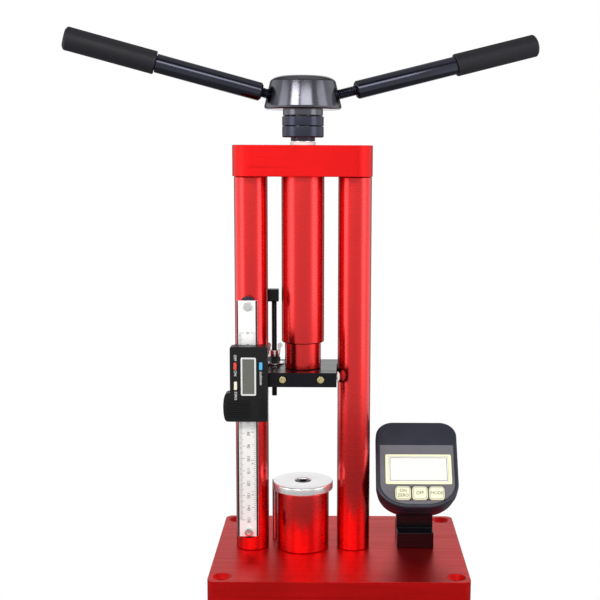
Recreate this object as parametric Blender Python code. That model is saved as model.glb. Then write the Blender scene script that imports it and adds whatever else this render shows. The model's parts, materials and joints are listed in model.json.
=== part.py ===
"""Bench-top screw press with a height scale and a digital load display.

A thick base carries two columns and a top plate. A hub with two handles turns a fixed lead
screw, which drives a ram and its foot down towards a platform that stands on a load cell.
A digital scale on the left column reads the foot's height, and a stop rod limits it.

Lengths are in millimetres here and become metres as each mesh is stored. The origin is on
the underside of the base, straight below the ram's axis. +X is right, +Y is to the rear.
"""
from math import cos, pi, radians, sin, tan

import bmesh
import bpy
from mathutils import Matrix, Vector

MM = 0.001
GAP = 0.3          # clearance between pieces that rest on each other
FINENESS = 0.5     # share of the full number of sides that round shapes get

# Base, columns and top plate
BASE_T = 19.0      # thickness; also the height of the base's top face
BASE_X = (-69.5, 128.6)
BASE_Y = (-79.0, 74.3)
BASE_HOLE_INSET = 10.5
COLUMN_X = 40.8
COLUMN_R = 13.2
COLUMN_BORE_R = 4.1
SPIGOT_R = 5.7     # threaded ends of the columns, screwed into the base
SPIGOT_DEPTH = 14.0
PLATE_Z = BASE_T + 299.5
PLATE_T = 24.0
PLATE_HALF = (54.2, 25.4)
PLATE_CORNER_R = 15.5
PLATE_TOP = PLATE_Z + PLATE_T

# Ram, its guide and the lead screw
SLEEVE_R = 16.9
SLEEVE_BORE_R = 14.7
SLEEVE_Z = BASE_T + 168.8
RAM_R = 14.35
RAM_SEAT = 3.0     # floor left under the ram's threaded end in the foot
SCREW_R = 7.0
SCREW_RUN_R = 7.3  # bore that runs on the screw's shaft
COLLAR_R = 16.2

# Foot, with the arm that carries the scale's slider
FOOT_Z = BASE_T + 136.4
FOOT_T = 11.4
FOOT_TOP = FOOT_Z + FOOT_T
FOOT_HALF_X = 27.0
FOOT_Y = (-14.2, 35.0)
ARM_Y = (-24.0, FOOT_Y[0] - GAP)
ARM_SCREW_X = (-15.2, 14.5)
STOP_XY = (-23.7, 15.2)
STOP_R = 2.2

# Hub and handles
HUB_Z = BASE_T + 345.9
HUB_R = 30.1
HANDLE_LIFT = radians(14.4)
HANDLE_TURN = radians(10.4)
HANDLE_ROOT_Z = BASE_T + 355.4
HANDLE_START = {"left": 33.0, "right": 42.8}
BAR_R = 7.15
BAR_LENGTH = 82.7
GRIP_R = 8.9
HANDLE_LENGTH = 152.0
STUD_R = 3.95

# Load cell and platform
CUP_R = 21.0
CUP_TOP = BASE_T + 48.0
CUP_SPIGOT_R = 8.0
CUP_SPIGOT_DEPTH = 9.7
PLATFORM_R = 24.25
PLATFORM_TOP = BASE_T + 54.7

# Height scale
BEAM_X = (-50.6, -34.7)
BEAM_Y = (-23.5, -20.0)
BEAM_Z = (BASE_T + 15.6, BASE_T + 204.2)
BEAM_SCREW_X = -42.0
BEAM_SCREW_Z = (BASE_T + 19.6, BASE_T + 200.1)
SLIDER_X = (-54.9, -26.0)
SLIDER_Z = (BASE_T + 111.9, BASE_T + 170.4)
SLIDER_FRONT = -37.0
SLIDER_BACK = -27.0
SLIDER_WALL = 1.6
LCD_X = (-44.5, -36.6)
LCD_Z = (BASE_T + 134.5, BASE_T + 160.4)
SLIDER_KEYS = {     # (low x, high x, low z, high z)
    "zero": (-51.9, -49.6, BASE_T + 152.7, BASE_T + 158.3),
    "power": (-51.7, -49.3, BASE_T + 137.1, BASE_T + 143.5),
    "units": (-32.3, -29.9, BASE_T + 152.7, BASE_T + 158.5),
}

# Load display: x from its middle, y into the case, z up its face
DISPLAY_AT = (92.1, -25.0, BASE_T + 40.2)
DISPLAY_TILT = radians(37.0)
CASE_HALF_X = 33.0
CASE_H = 73.0
CASE_D = 30.0
CASE_SPLIT = 12.0
CASE_TAPER = 4.0   # how far the case's outline draws in at the back
CASE_WALL = 2.2
PANEL_INSET = 3.2
PANEL_TOP = 53.0
WINDOW_X = (-22.9, 24.9)
WINDOW_Z = (21.4, 42.8)
KEY_Z = (6.1, 17.2)
KEY_W = 12.3
KEY_PITCH = 13.4
KEY_MIDDLE_X = 1.5
BRACKET_X = (76.5, 106.0)
BRACKET_Y = (-6.5, 30.0)
BRACKET_FOOT_H = 12.9
UPRIGHT_Y = (5.0, 18.0)
DOWEL_XY = ((82.0, 10.0), (100.5, 10.0))
DOWEL_R = 3.0
DOWEL_DEPTH = 8.0

MATERIALS = {       # colour, roughness, metallic
    "red_anodised": ((0.78, 0.05, 0.045), 0.32, 0.85),
    "black_gloss": ((0.02, 0.02, 0.025), 0.18, 0.3),
    "black_anodised": ((0.03, 0.03, 0.035), 0.38, 0.7),
    "black_grip": ((0.03, 0.03, 0.035), 0.7, 0.0),
    "bright_steel": ((0.75, 0.75, 0.76), 0.22, 1.0),
    "bright_aluminium": ((0.86, 0.86, 0.87), 0.3, 1.0),
    "dark_steel": ((0.08, 0.08, 0.085), 0.4, 0.9),
    "zinc_yellow": ((0.62, 0.53, 0.28), 0.3, 0.9),
    "bronze": ((0.55, 0.36, 0.16), 0.35, 1.0),
    "white_plastic": ((0.85, 0.85, 0.82), 0.4, 0.0),
    "charcoal_plastic": ((0.035, 0.035, 0.037), 0.5, 0.0),
    "slate_plastic": ((0.04, 0.043, 0.06), 0.4, 0.0),
    "panel_grey": ((0.15, 0.15, 0.17), 0.45, 0.0),
    "pale_yellow": ((0.88, 0.88, 0.62), 0.45, 0.0),
    "lcd_glass": ((0.15, 0.16, 0.14), 0.12, 0.0),
    "key_red": ((0.75, 0.07, 0.05), 0.4, 0.0),
    "key_cream": ((0.85, 0.78, 0.6), 0.4, 0.0),
    "key_blue": ((0.08, 0.45, 0.8), 0.4, 0.0),
    "board_green": ((0.02, 0.16, 0.07), 0.5, 0.0),
}


# ---------------------------------------------------------------- mesh tools

def turned(profile, steps=40):
    """Turn (radius, height) points about +Z. Ends off the axis close into a ring."""
    bm = bmesh.new()
    verts = [bm.verts.new((r, 0.0, z)) for r, z in profile]
    pairs = list(zip(verts, verts[1:]))
    if profile[0][0] > 0:
        pairs.append((verts[-1], verts[0]))
    edges = [bm.edges.new(pair) for pair in pairs]
    bmesh.ops.spin(bm, geom=verts + edges, cent=(0, 0, 0), axis=(0, 0, 1),
                   angle=2 * pi, steps=max(10, round(steps * FINENESS)), use_merge=True)
    bmesh.ops.remove_doubles(bm, verts=bm.verts, dist=1e-3)
    bmesh.ops.recalc_face_normals(bm, faces=bm.faces)
    return bm


def rod(radius, low, high, chamfer=0.4, steps=24):
    return turned([(0, low), (radius - chamfer, low), (radius, low + chamfer),
                   (radius, high - chamfer), (radius - chamfer, high), (0, high)], steps)


def drill(radius, low, high, steps=24):
    """Plain cylinder for cutting a hole."""
    return turned([(0, low), (radius, low), (radius, high), (0, high)], steps)


def tube(outer, inner, low, high, chamfer=0.4, steps=40):
    return turned([(inner, low), (outer - chamfer, low), (outer, low + chamfer),
                   (outer, high - chamfer), (outer - chamfer, high), (inner, high)], steps)


def block(low, high, bevel=0.0, segments=1):
    """Box between two corners, with all its edges bevelled."""
    bm = bmesh.new()
    low, high = Vector(low), Vector(high)
    size = high - low
    place = Matrix.Translation((low + high) / 2) @ Matrix.Diagonal((*size, 1))
    bmesh.ops.create_cube(bm, size=1.0, matrix=place)
    if bevel:
        bmesh.ops.bevel(bm, geom=list(bm.edges), offset=bevel, segments=segments,
                        profile=0.5, affect='EDGES')
    return bm


def slab(outline, low, high, bevel=0.0):
    """Raise a flat outline of (x, y) points from one height to another."""
    bm = bmesh.new()
    face = bm.faces.new([bm.verts.new((x, y, low)) for x, y in outline])
    raised = bmesh.ops.extrude_face_region(bm, geom=[face])["geom"]
    tops = [v for v in raised if isinstance(v, bmesh.types.BMVert)]
    bmesh.ops.translate(bm, verts=tops, vec=(0, 0, high - low))
    bmesh.ops.recalc_face_normals(bm, faces=bm.faces)
    if bevel:
        rim = [e for e in bm.edges if abs(e.verts[0].co.z - e.verts[1].co.z) < 1e-6]
        bmesh.ops.bevel(bm, geom=rim, offset=bevel, segments=1, profile=0.5, affect='EDGES')
    return bm


def rounded(x_span, y_span, radius, steps=5):
    """Outline of a rectangle with round corners, anticlockwise."""
    points = []
    corners = ((x_span[1], y_span[1], 1, 1), (x_span[0], y_span[1], -1, 1),
               (x_span[0], y_span[0], -1, -1), (x_span[1], y_span[0], 1, -1))
    for quarter, (x, y, side_x, side_y) in enumerate(corners):
        for step in range(steps + 1):
            angle = (quarter + step / steps) * pi / 2
            points.append((x - side_x * radius + radius * cos(angle),
                           y - side_y * radius + radius * sin(angle)))
    return points


def moved(bm, x=0.0, y=0.0, z=0.0):
    bmesh.ops.translate(bm, verts=bm.verts, vec=(x, y, z))
    return bm


def rotated(bm, angle, axis):
    bmesh.ops.rotate(bm, verts=bm.verts, cent=(0, 0, 0), matrix=Matrix.Rotation(angle, 3, axis))
    return bm


def z_to_x(bm):
    return rotated(bm, pi / 2, 'Y')


def z_to_front(bm):
    """Turn a mesh made along +Z so that +Z points forwards, along -Y."""
    return rotated(bm, pi / 2, 'X')


def stored(name, bm):
    mesh = bpy.data.meshes.new(name)
    bm.to_mesh(mesh)
    bm.free()
    obj = bpy.data.objects.new(name, mesh)
    bpy.context.collection.objects.link(obj)
    return obj


def combined(bm, others, operation):
    """Apply one Boolean for each other mesh, and return the resulting mesh."""
    body = stored("body", bm)
    tools = [stored("tool", other) for other in others]
    for tool in tools:
        step = body.modifiers.new("step", 'BOOLEAN')
        step.operation = operation
        step.solver = 'EXACT'
        step.object = tool
    result = bmesh.new()
    result.from_object(body, bpy.context.evaluated_depsgraph_get())
    for obj in [body, *tools]:
        mesh = obj.data
        bpy.data.objects.remove(obj)
        bpy.data.meshes.remove(mesh)
    return result


def cut(bm, *cutters):
    return combined(bm, cutters, 'DIFFERENCE')


def fused(bm, *others):
    return combined(bm, others, 'UNION')


def material(name):
    found = bpy.data.materials.get(name)
    if found:
        return found
    colour, roughness, metallic = MATERIALS[name]
    made = bpy.data.materials.new(name)
    made.use_nodes = True
    shader = made.node_tree.nodes["Principled BSDF"]
    shader.inputs["Base Color"].default_value = (*colour, 1)
    shader.inputs["Roughness"].default_value = roughness
    shader.inputs["Metallic"].default_value = metallic
    made.diffuse_color = (*colour, 1)
    return made


def add(name, bm, finish, pivot=(0, 0, 0), parent=None):
    """Store a mesh as a named object in metres, with its origin at the pivot."""
    moved(bm, -pivot[0], -pivot[1], -pivot[2])
    bmesh.ops.scale(bm, verts=bm.verts, vec=(MM, MM, MM))
    obj = stored(name, bm)
    obj.location = Vector(pivot) * MM
    obj.parent = parent
    obj.data.materials.append(material(finish))
    obj.data.shade_smooth()
    obj.data.set_sharp_from_angle(angle=radians(35))
    return obj


def frame_at(name, at, turn):
    """Empty that carries the pieces built in its own axes."""
    empty = bpy.data.objects.new(name, None)
    empty.location = Vector(at) * MM
    empty.rotation_euler = turn
    bpy.context.collection.objects.link(empty)
    return empty


def cap_screw(head_r, head_h, shank_r, length, steps=20):
    """Socket screw with its head's top at z = 0 and its shank pointing down."""
    socket_r, socket_d = head_r * 0.52, head_h * 0.6
    seat, tip = -head_h, -head_h - length
    return turned([(0, -socket_d), (socket_r, -socket_d), (socket_r, 0), (head_r - 0.3, 0),
                   (head_r, -0.3), (head_r, seat), (shank_r, seat), (shank_r, tip + 0.4),
                   (shank_r - 0.4, tip), (0, tip)], steps)


# ---------------------------------------------------------------- frame

def corner_holes():
    """Countersunk fixing holes, one near each corner of the base."""
    xs = (BASE_X[0] + BASE_HOLE_INSET, BASE_X[1] - BASE_HOLE_INSET)
    ys = (BASE_Y[0] + BASE_HOLE_INSET, BASE_Y[1] - BASE_HOLE_INSET)
    profile = [(0, -1), (3.6, -1), (3.6, BASE_T - 3.6), (7.2, BASE_T), (7.2, BASE_T + 1),
               (0, BASE_T + 1)]
    return [moved(turned(profile, 28), x, y) for x in xs for y in ys]


def socket(radius, depth, x=0.0, y=0.0):
    """Cutter for a blind hole in the base's top face, with room around its spigot."""
    return moved(drill(radius + GAP, BASE_T - depth - GAP, BASE_T + 1), x, y)


def base_plate():
    bm = slab(rounded(BASE_X, BASE_Y, 6.0), 0, BASE_T, 0.8)
    holes = [socket(SPIGOT_R, SPIGOT_DEPTH, x) for x in (-COLUMN_X, COLUMN_X)]
    holes += [socket(DOWEL_R, DOWEL_DEPTH, *xy) for xy in DOWEL_XY]
    holes += [socket(CUP_SPIGOT_R, CUP_SPIGOT_DEPTH), socket(1.6, 9.0, *STOP_XY)]
    add("base_plate", cut(bm, *holes, *corner_holes()), "red_anodised")


def columns():
    low, high = BASE_T + GAP, PLATE_Z - GAP
    end = BASE_T - SPIGOT_DEPTH
    profile = [(0, end), (SPIGOT_R - 0.6, end), (SPIGOT_R, end + 0.6), (SPIGOT_R, low),
               (COLUMN_R - 0.5, low), (COLUMN_R, low + 0.5), (COLUMN_R, high - 0.5),
               (COLUMN_R - 0.5, high), (COLUMN_BORE_R, high), (COLUMN_BORE_R, high - 25),
               (0, high - 25)]
    tapped = [moved(z_to_front(drill(2.0, 4, 15, 16)), BEAM_SCREW_X, 0, z)
              for z in BEAM_SCREW_Z]
    left = cut(moved(turned(profile, 48), -COLUMN_X), *tapped)
    add("column_left", left, "red_anodised", (-COLUMN_X, 0, low))
    add("column_right", moved(turned(profile, 48), COLUMN_X), "red_anodised",
        (COLUMN_X, 0, low))


def column_screws():
    for side, x in (("left", -COLUMN_X), ("right", COLUMN_X)):
        screw = moved(cap_screw(7.2, 8.5, 3.7, 34, 28), x, 0, PLATE_TOP - 0.6)
        add("column_screw_" + side, screw, "dark_steel", (x, 0, PLATE_TOP))


def top_plate():
    spans = [(-half, half) for half in PLATE_HALF]
    bm = slab(rounded(*spans, PLATE_CORNER_R, 9), PLATE_Z, PLATE_TOP, 0.6)
    seat = PLATE_TOP - 9.5
    screw = [(0, PLATE_Z - 1), (4.4, PLATE_Z - 1), (4.4, seat), (7.6, seat),
             (7.6, PLATE_TOP + 1), (0, PLATE_TOP + 1)]
    middle = [(0, PLATE_Z - 1), (SLEEVE_R + GAP, PLATE_Z - 1), (SLEEVE_R + GAP, PLATE_Z + 6.5),
              (14.6, PLATE_Z + 6.5), (14.6, PLATE_Z + 15), (10.15, PLATE_Z + 15),
              (10.15, PLATE_TOP + 1), (0, PLATE_TOP + 1)]
    holes = [moved(turned(screw, 24), x) for x in (-COLUMN_X, COLUMN_X)]
    add("top_plate", cut(bm, turned(middle, 48), *holes), "red_anodised")


def guide_parts():
    add("guide_sleeve", tube(SLEEVE_R, SLEEVE_BORE_R, SLEEVE_Z, PLATE_Z + 6.2, 0.6, 48),
        "red_anodised")
    add("thrust_bearing", tube(13.9, 8.0, PLATE_Z + 10.7, PLATE_Z + 14.7, 0.5, 40),
        "bright_steel")
    add("top_bushing", tube(9.85, SCREW_R + 0.4, PLATE_Z + 15.3, PLATE_TOP + 2.7, 0.3, 40),
        "white_plastic")


# ---------------------------------------------------------------- load side

def load_parts():
    low = BASE_T + GAP
    floor = low + 6
    end = BASE_T - CUP_SPIGOT_DEPTH
    cup = turned([(0, end), (CUP_SPIGOT_R - 0.5, end), (CUP_SPIGOT_R, end + 0.5),
                  (CUP_SPIGOT_R, low), (CUP_R - 0.5, low), (CUP_R, low + 0.5),
                  (CUP_R, CUP_TOP - 0.5), (CUP_R - 0.5, CUP_TOP), (18, CUP_TOP), (18, floor),
                  (0, floor)], 48)
    add("load_cell_cup", cup, "red_anodised")
    cell = turned([(0, floor + GAP), (15, floor + GAP), (15, BASE_T + 38), (6.5, BASE_T + 38),
                   (6.5, CUP_TOP), (3.4, CUP_TOP), (3.4, CUP_TOP - 13), (0, CUP_TOP - 13)], 40)
    add("load_cell", cell, "bright_steel")
    low, recess = CUP_TOP + GAP, PLATFORM_TOP - 3.2
    disc = turned([(3.6, low), (PLATFORM_R - 0.6, low), (PLATFORM_R, low + 0.6),
                   (PLATFORM_R, PLATFORM_TOP - 0.6), (PLATFORM_R - 0.6, PLATFORM_TOP),
                   (6.35, PLATFORM_TOP), (6.35, recess), (3.6, recess)], 56)
    add("load_platform", disc, "bright_aluminium")
    add("platform_screw", moved(cap_screw(5.9, 2.4, 3.0, 13), 0, 0, PLATFORM_TOP - 0.5),
        "dark_steel")


def stop_post():
    top = BASE_T + 51
    low = BASE_T - 9
    bm = turned([(0, low), (1.6, low), (1.6, BASE_T + GAP), (STOP_R - 0.1, BASE_T + GAP),
                 (STOP_R - 0.1, top - 0.5), (STOP_R - 0.6, top), (0, top)], 20)
    add("stop_post", moved(bm, *STOP_XY), "bright_steel")


# ---------------------------------------------------------------- spindle

def lead_screw():
    shoulder = PLATE_Z + 7
    low, top = BASE_T + 184, BASE_T + 361.7
    bm = turned([(0, low), (SCREW_R - 1, low), (SCREW_R, low + 1.5), (SCREW_R, shoulder),
                 (13.5, shoulder), (13.5, shoulder + 3.4), (SCREW_R, shoulder + 3.4),
                 (SCREW_R, top - 0.5), (SCREW_R - 0.5, top), (3.4, top), (3.4, top - 20),
                 (0, top - 20)], 32)
    add("lead_screw", bm, "bright_steel", (0, 0, low))


def lock_collars():
    low = BASE_T + 326.6
    face, mid, top = BASE_T + 329.4, BASE_T + 338.0, BASE_T + 345.6
    lower = turned([(SCREW_RUN_R, low), (9.5, low), (9.5, face), (COLLAR_R - 0.7, face),
                    (COLLAR_R, face + 0.7), (COLLAR_R, mid - 0.7), (COLLAR_R - 0.7, mid),
                    (SCREW_RUN_R, mid)], 48)
    upper = tube(COLLAR_R, SCREW_RUN_R, mid + GAP, top, 0.7, 48)
    add("lock_collar_lower", lower, "black_anodised", (0, 0, low))
    add("lock_collar_upper", upper, "black_anodised", (0, 0, mid))


def hub():
    under = BASE_T + 350.7
    cone = (25.6, BASE_T + 371.8)
    top = BASE_T + 376.3
    seat, shaft = BASE_T + 366.3, BASE_T + 362.0
    crown = []
    for step in range(1, 7):
        t = step / 6
        crown.append((cone[0] - 9.6 * (1 - cos(t * pi / 2)) ** 0.8,
                      cone[1] + (top - cone[1]) * sin(t * pi / 2)))
    bm = turned([(SCREW_RUN_R, HUB_Z), (15.0, HUB_Z), (15.6, HUB_Z + 0.6), (15.6, under),
                 (HUB_R - 1.8, under), (HUB_R - 0.5, under + 0.8), (HUB_R, under + 2.4), cone,
                 *crown, (8.0, top), (8.0, seat), (3.4, seat), (3.4, shaft),
                 (SCREW_RUN_R, shaft)], 64)
    sockets = [along_handle(drill(STUD_R + GAP, 13.5, 45, 24), turn)
               for turn in (HANDLE_TURN, HANDLE_TURN + pi)]
    add("hub", cut(bm, *sockets), "black_gloss", (0, 0, HUB_Z))
    add("hub_bolt", moved(cap_screw(7.4, 8.9, 3.1, 22, 24), 0, 0, top - 0.7), "dark_steel",
        (0, 0, top))


def along_handle(bm, turn):
    """Lay a mesh made along +Z on a handle's axis, which leans up out of the hub."""
    bm = rotated(rotated(z_to_x(bm), -HANDLE_LIFT, 'Y'), turn, 'Z')
    return moved(bm, 0, 0, HANDLE_ROOT_Z)


def handle(side, turn):
    """Bar with a threaded end that screws into the hub, and a grip pushed over its far end."""
    start = HANDLE_START[side]
    end = start + HANDLE_LENGTH
    joint = start + BAR_LENGTH
    deep = end - 9.4
    bar = turned([(0, 14.0), (STUD_R - 0.6, 14.0), (STUD_R, 14.6), (STUD_R, start),
                  (BAR_R - 1.2, start), (BAR_R, start + 1.2), (BAR_R, joint), (5.5, joint),
                  (5.5, deep - 0.6), (0, deep - 0.6)], 40)
    low = joint + GAP
    grip = turned([(0, deep), (5.8, deep), (5.8, low), (GRIP_R - 0.8, low), (GRIP_R, low + 1.0),
                   (GRIP_R, end - 2.4), (GRIP_R - 0.8, end - 0.8), (GRIP_R - 2.6, end),
                   (0, end)], 40)
    pivot = (0, 0, HANDLE_ROOT_Z)
    add("handle_bar_" + side, along_handle(bar, turn), "black_gloss", pivot)
    add("grip_" + side, along_handle(grip, turn), "black_grip", pivot)


# ---------------------------------------------------------------- carriage

def ram_parts():
    low, top = FOOT_TOP + GAP, BASE_T + 283
    nut = top - 20
    end = FOOT_Z + RAM_SEAT + GAP
    bm = turned([(0, end), (SPIGOT_R - 0.4, end), (SPIGOT_R, end + 0.4), (SPIGOT_R, low),
                 (RAM_R - 0.5, low),
                 (RAM_R, low + 0.5), (RAM_R, top - 0.5), (RAM_R - 0.5, top), (11.6, top),
                 (11.6, nut), (8.5, nut), (8.5, low + 12), (0, low + 12)], 48)
    add("ram", bm, "red_anodised")
    add("ram_nut", tube(11.3, SCREW_RUN_R, nut + GAP, top - GAP, 0.3, 32), "bronze")


BUTTON_Y = -9.9
BUTTON_R = 4.2


def press_foot():
    rear_half, step_y = 31.5, 14.6
    outline = [(-FOOT_HALF_X, FOOT_Y[0]), (FOOT_HALF_X, FOOT_Y[0]), (FOOT_HALF_X, step_y),
               (rear_half, step_y), (rear_half, FOOT_Y[1]), (-rear_half, FOOT_Y[1]),
               (-rear_half, step_y), (-FOOT_HALF_X, step_y)]
    bm = slab(outline, FOOT_Z, FOOT_TOP, 0.5)
    middle = FOOT_Z + FOOT_T / 2
    holes = [drill(SPIGOT_R + GAP, FOOT_Z + RAM_SEAT, FOOT_TOP + 1),
             moved(drill(STOP_R + GAP, FOOT_Z - 1, FOOT_TOP + 1), *STOP_XY)]
    holes += [moved(z_to_front(drill(1.9, -FOOT_Y[0] - 14, -FOOT_Y[0] + 1, 16)), x, 0, middle)
              for x in ARM_SCREW_X]
    for side in (-1, 1):
        bore = z_to_x(drill(2.3, FOOT_HALF_X - 8, FOOT_HALF_X + 1, 16))
        holes.append(moved(rotated(bore, 0 if side > 0 else pi, 'Z'), 0, BUTTON_Y, middle))
    add("press_foot", cut(bm, *holes), "black_anodised")


def scale_arm():
    middle = FOOT_Z + FOOT_T / 2
    low, high = (-FOOT_HALF_X - 1, ARM_Y[0], FOOT_Z), (FOOT_HALF_X, ARM_Y[1], FOOT_TOP)
    seat = ARM_Y[0] + 4.6
    hole = [(0, -ARM_Y[1] - 1), (2.0, -ARM_Y[1] - 1), (2.0, -seat), (3.1, -seat),
            (3.1, -ARM_Y[0] + 1), (0, -ARM_Y[0] + 1)]
    holes = [moved(z_to_front(turned(hole, 20)), x, 0, middle) for x in ARM_SCREW_X]
    add("scale_arm", cut(block(low, high, 0.4), *holes), "black_anodised")
    for side, x in zip(("left", "right"), ARM_SCREW_X):
        screw = z_to_front(cap_screw(2.8, 4.0, 1.6, 16, 16))
        add("arm_screw_" + side, moved(screw, x, ARM_Y[0] + 0.2, middle), "zinc_yellow")


def guide_buttons():
    middle = FOOT_Z + FOOT_T / 2
    face = FOOT_HALF_X + GAP
    dome = [(BUTTON_R * cos(t * pi / 12), face + 0.4 + 1.9 * sin(t * pi / 12))
            for t in range(6)]
    profile = [(0, face - 6), (2.0, face - 6), (2.0, face), (BUTTON_R, face), *dome,
               (0, face + 2.3)]
    for side, turn in (("left", pi), ("right", 0)):
        bm = rotated(z_to_x(turned(profile, 24)), turn, 'Z')
        add("guide_button_" + side, moved(bm, 0, BUTTON_Y, middle), "white_plastic")


# ---------------------------------------------------------------- depth stop

def stop_parts():
    low = FOOT_TOP + GAP
    washer = moved(tube(8.0, STOP_R + GAP, low, low + 0.9, 0.2, 32), *STOP_XY)
    add("stop_washer", washer, "bright_steel")
    hexagon = [(4.9 * cos(k * pi / 3), 4.9 * sin(k * pi / 3)) for k in range(6)]
    nut = slab(hexagon, low + 1.2, low + 5.4, 0.3)
    nut = cut(nut, drill(STOP_R + GAP, low, low + 7))
    add("stop_lock_nut", moved(nut, *STOP_XY), "dark_steel")
    wing_nut(low + 5.7)
    stop_rod()


def wing_nut(low):
    hub_part = tube(4.4, STOP_R + GAP, low, low + 5.5, 0.5, 28)
    ears = []
    for side in (-1, 1):
        tip = [(4.6 + 2.1 * cos(t * pi / 8), low + 9.2 + 2.1 * sin(t * pi / 8))
               for t in range(-3, 8)]
        outline = [(3.2, low + 0.8), (4.6, low + 1.4), *tip, (3.2, low + 5.4)]
        ears.append(front_slab([(side * x, z) for x, z in outline], -1.1, 1.1, 0.3))
    bm = fused(hub_part, *ears)
    bm = cut(bm, drill(STOP_R + GAP, low - 1, low + 12))
    add("wing_nut", moved(bm, *STOP_XY), "bright_steel", (*STOP_XY, low))


def stop_rod():
    low, head = BASE_T + 121.5, BASE_T + 199.0
    add("stop_rod", moved(rod(STOP_R, low, head + 6, 0.5), *STOP_XY), "dark_steel",
        (*STOP_XY, low))
    x, y = STOP_XY
    bm = block((x - 8.3, y - 4, head), (x + 3.8, y + 4, head + 10), 0.6)
    bm = cut(bm, moved(drill(STOP_R + GAP, head - 1, head + 6.3), *STOP_XY))
    add("stop_rod_head", bm, "black_anodised", (*STOP_XY, head))


# ---------------------------------------------------------------- height scale

def scale_beam():
    low, high = zip(BEAM_X, BEAM_Y, BEAM_Z)
    holes = [moved(z_to_front(drill(2.1, 10, 40, 16)), BEAM_SCREW_X, 0, z)
             for z in BEAM_SCREW_Z]
    add("scale_beam", cut(block(low, high, 0.3), *holes), "bright_steel")
    for end, z in zip(("bottom", "top"), BEAM_SCREW_Z):
        spacer = z_to_front(tube(7.0, 2.1, 13.6, -BEAM_Y[1] - GAP, 0.3, 28))
        add("scale_spacer_" + end, moved(spacer, BEAM_SCREW_X, 0, z), "black_anodised")
        screw = z_to_front(cap_screw(3.4, 2.2, 1.7, 18.5, 20))
        add("scale_screw_" + end, moved(screw, BEAM_SCREW_X, BEAM_Y[0] - 2.5, z), "dark_steel")


def slider_frame():
    low = (-53.0, -26.7, SLIDER_Z[0] + 1.2)
    high = (-28.3, -16.5, SLIDER_Z[1] - 1.2)
    slot = block((BEAM_X[0] - 0.35, BEAM_Y[0] - 0.35, low[2] - 1),
                 (BEAM_X[1] + 0.35, BEAM_Y[1] + 0.35, high[2] + 1))
    add("slider_frame", cut(block(low, high, 0.4), slot), "dark_steel")


def slider_outline():
    """Front outline of the slider's case, as (x, z), with a rounded swelling low on the left."""
    (x0, x1), (z0, z1) = SLIDER_X, SLIDER_Z
    swell_top, reach = z0 + 22.5, 5.3
    points = [(x1, z0 + 1.5), (x1, z1 - 1.5), (x1 - 1.5, z1), (x0 + 1.5, z1), (x0, z1 - 1.5)]
    for step in range(9):
        angle = pi * step / 8
        points.append((x0 - reach * sin(angle) ** 0.45,
                       (z0 + swell_top) / 2 + (swell_top - z0) / 2 * cos(angle)))
    points.append((x1 - 1.5, z0))
    return points


def front_slab(outline, back, front, bevel=0.0):
    """Slab whose (x, z) outline faces front; back and front are y values."""
    flipped = [(x, -z) for x, z in outline]
    bm = slab(flipped, back, front, bevel) if back < front else slab(flipped, front, back, bevel)
    return rotated(bm, -pi / 2, 'X')


def front_hole(span, margin, near, far):
    """Box cutter for an opening in a front face, grown by a margin."""
    x0, x1, z0, z1 = span
    return block((x0 - margin, near, z0 - margin), (x1 + margin, far, z1 + margin))


def slider_housing():
    bm = front_slab(slider_outline(), SLIDER_BACK, SLIDER_FRONT, 0.9)
    inner = SLIDER_FRONT + SLIDER_WALL
    cavity = block((SLIDER_X[0] + 1.6, inner, SLIDER_Z[0] + 1.6),
                   (SLIDER_X[1] - 1.6, SLIDER_BACK + 1, SLIDER_Z[1] - 1.6))
    holes = [front_hole(span, GAP, SLIDER_FRONT - 1, inner + 1)
             for span in SLIDER_KEYS.values()]
    holes.append(front_hole((*LCD_X, *LCD_Z), 0, SLIDER_FRONT - 1, inner + 1))
    pad = ridged_plate((-32.2, -26.9), (SLIDER_Z[0] + 2.3, SLIDER_Z[0] + 17.3), -0.4)
    add("slider_housing", cut(fused(bm, pad), cavity, *holes), "charcoal_plastic")


def slider_fittings():
    face = SLIDER_FRONT - GAP
    rim = 1.9
    frame = block((LCD_X[0] - rim, face - 0.6, LCD_Z[0] - rim),
                  (LCD_X[1] + rim, face, LCD_Z[1] + rim), 0.25)
    frame = cut(frame, front_hole((*LCD_X, *LCD_Z), 0, face - 2, face + 2))
    add("slider_lcd_frame", frame, "bright_aluminium")
    pane = block((LCD_X[0] + GAP, face - 0.2, LCD_Z[0] + GAP),
                 (LCD_X[1] - GAP, -32.5, LCD_Z[1] - GAP), 0.1)
    board = block((-52, -32.9, BASE_T + 131), (-29, -31.5, BASE_T + 168), 0.1)
    add("slider_lcd_board", fused(pane, board), "lcd_glass")
    cover = ridged_plate((-58.2, -40.0), (SLIDER_Z[0] + 2.3, SLIDER_Z[0] + 16.7), GAP)
    add("slider_battery_cover", cover, "charcoal_plastic")


def ridged_plate(x_span, z_span, clearance):
    """Thin plate on the slider's face with level ridges across it."""
    back = SLIDER_FRONT - clearance
    base = -back + 0.35
    count = 6
    pitch = (z_span[1] - z_span[0]) / count
    outline = [(-back, z_span[0]), (base, z_span[0])]
    for k in range(count):
        z = z_span[0] + k * pitch
        outline += [(base + 0.55, z + 0.25 * pitch), (base + 0.55, z + 0.65 * pitch),
                    (base, z + 0.9 * pitch)]
    outline += [(base, z_span[1]), (-back, z_span[1])]
    bm = slab([(-y, z) for y, z in outline], *x_span)
    matrix = Matrix(((0, 0, 1), (1, 0, 0), (0, 1, 0)))
    bmesh.ops.transform(bm, verts=bm.verts, matrix=matrix.to_4x4())
    bmesh.ops.recalc_face_normals(bm, faces=bm.faces)
    return bm


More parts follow.
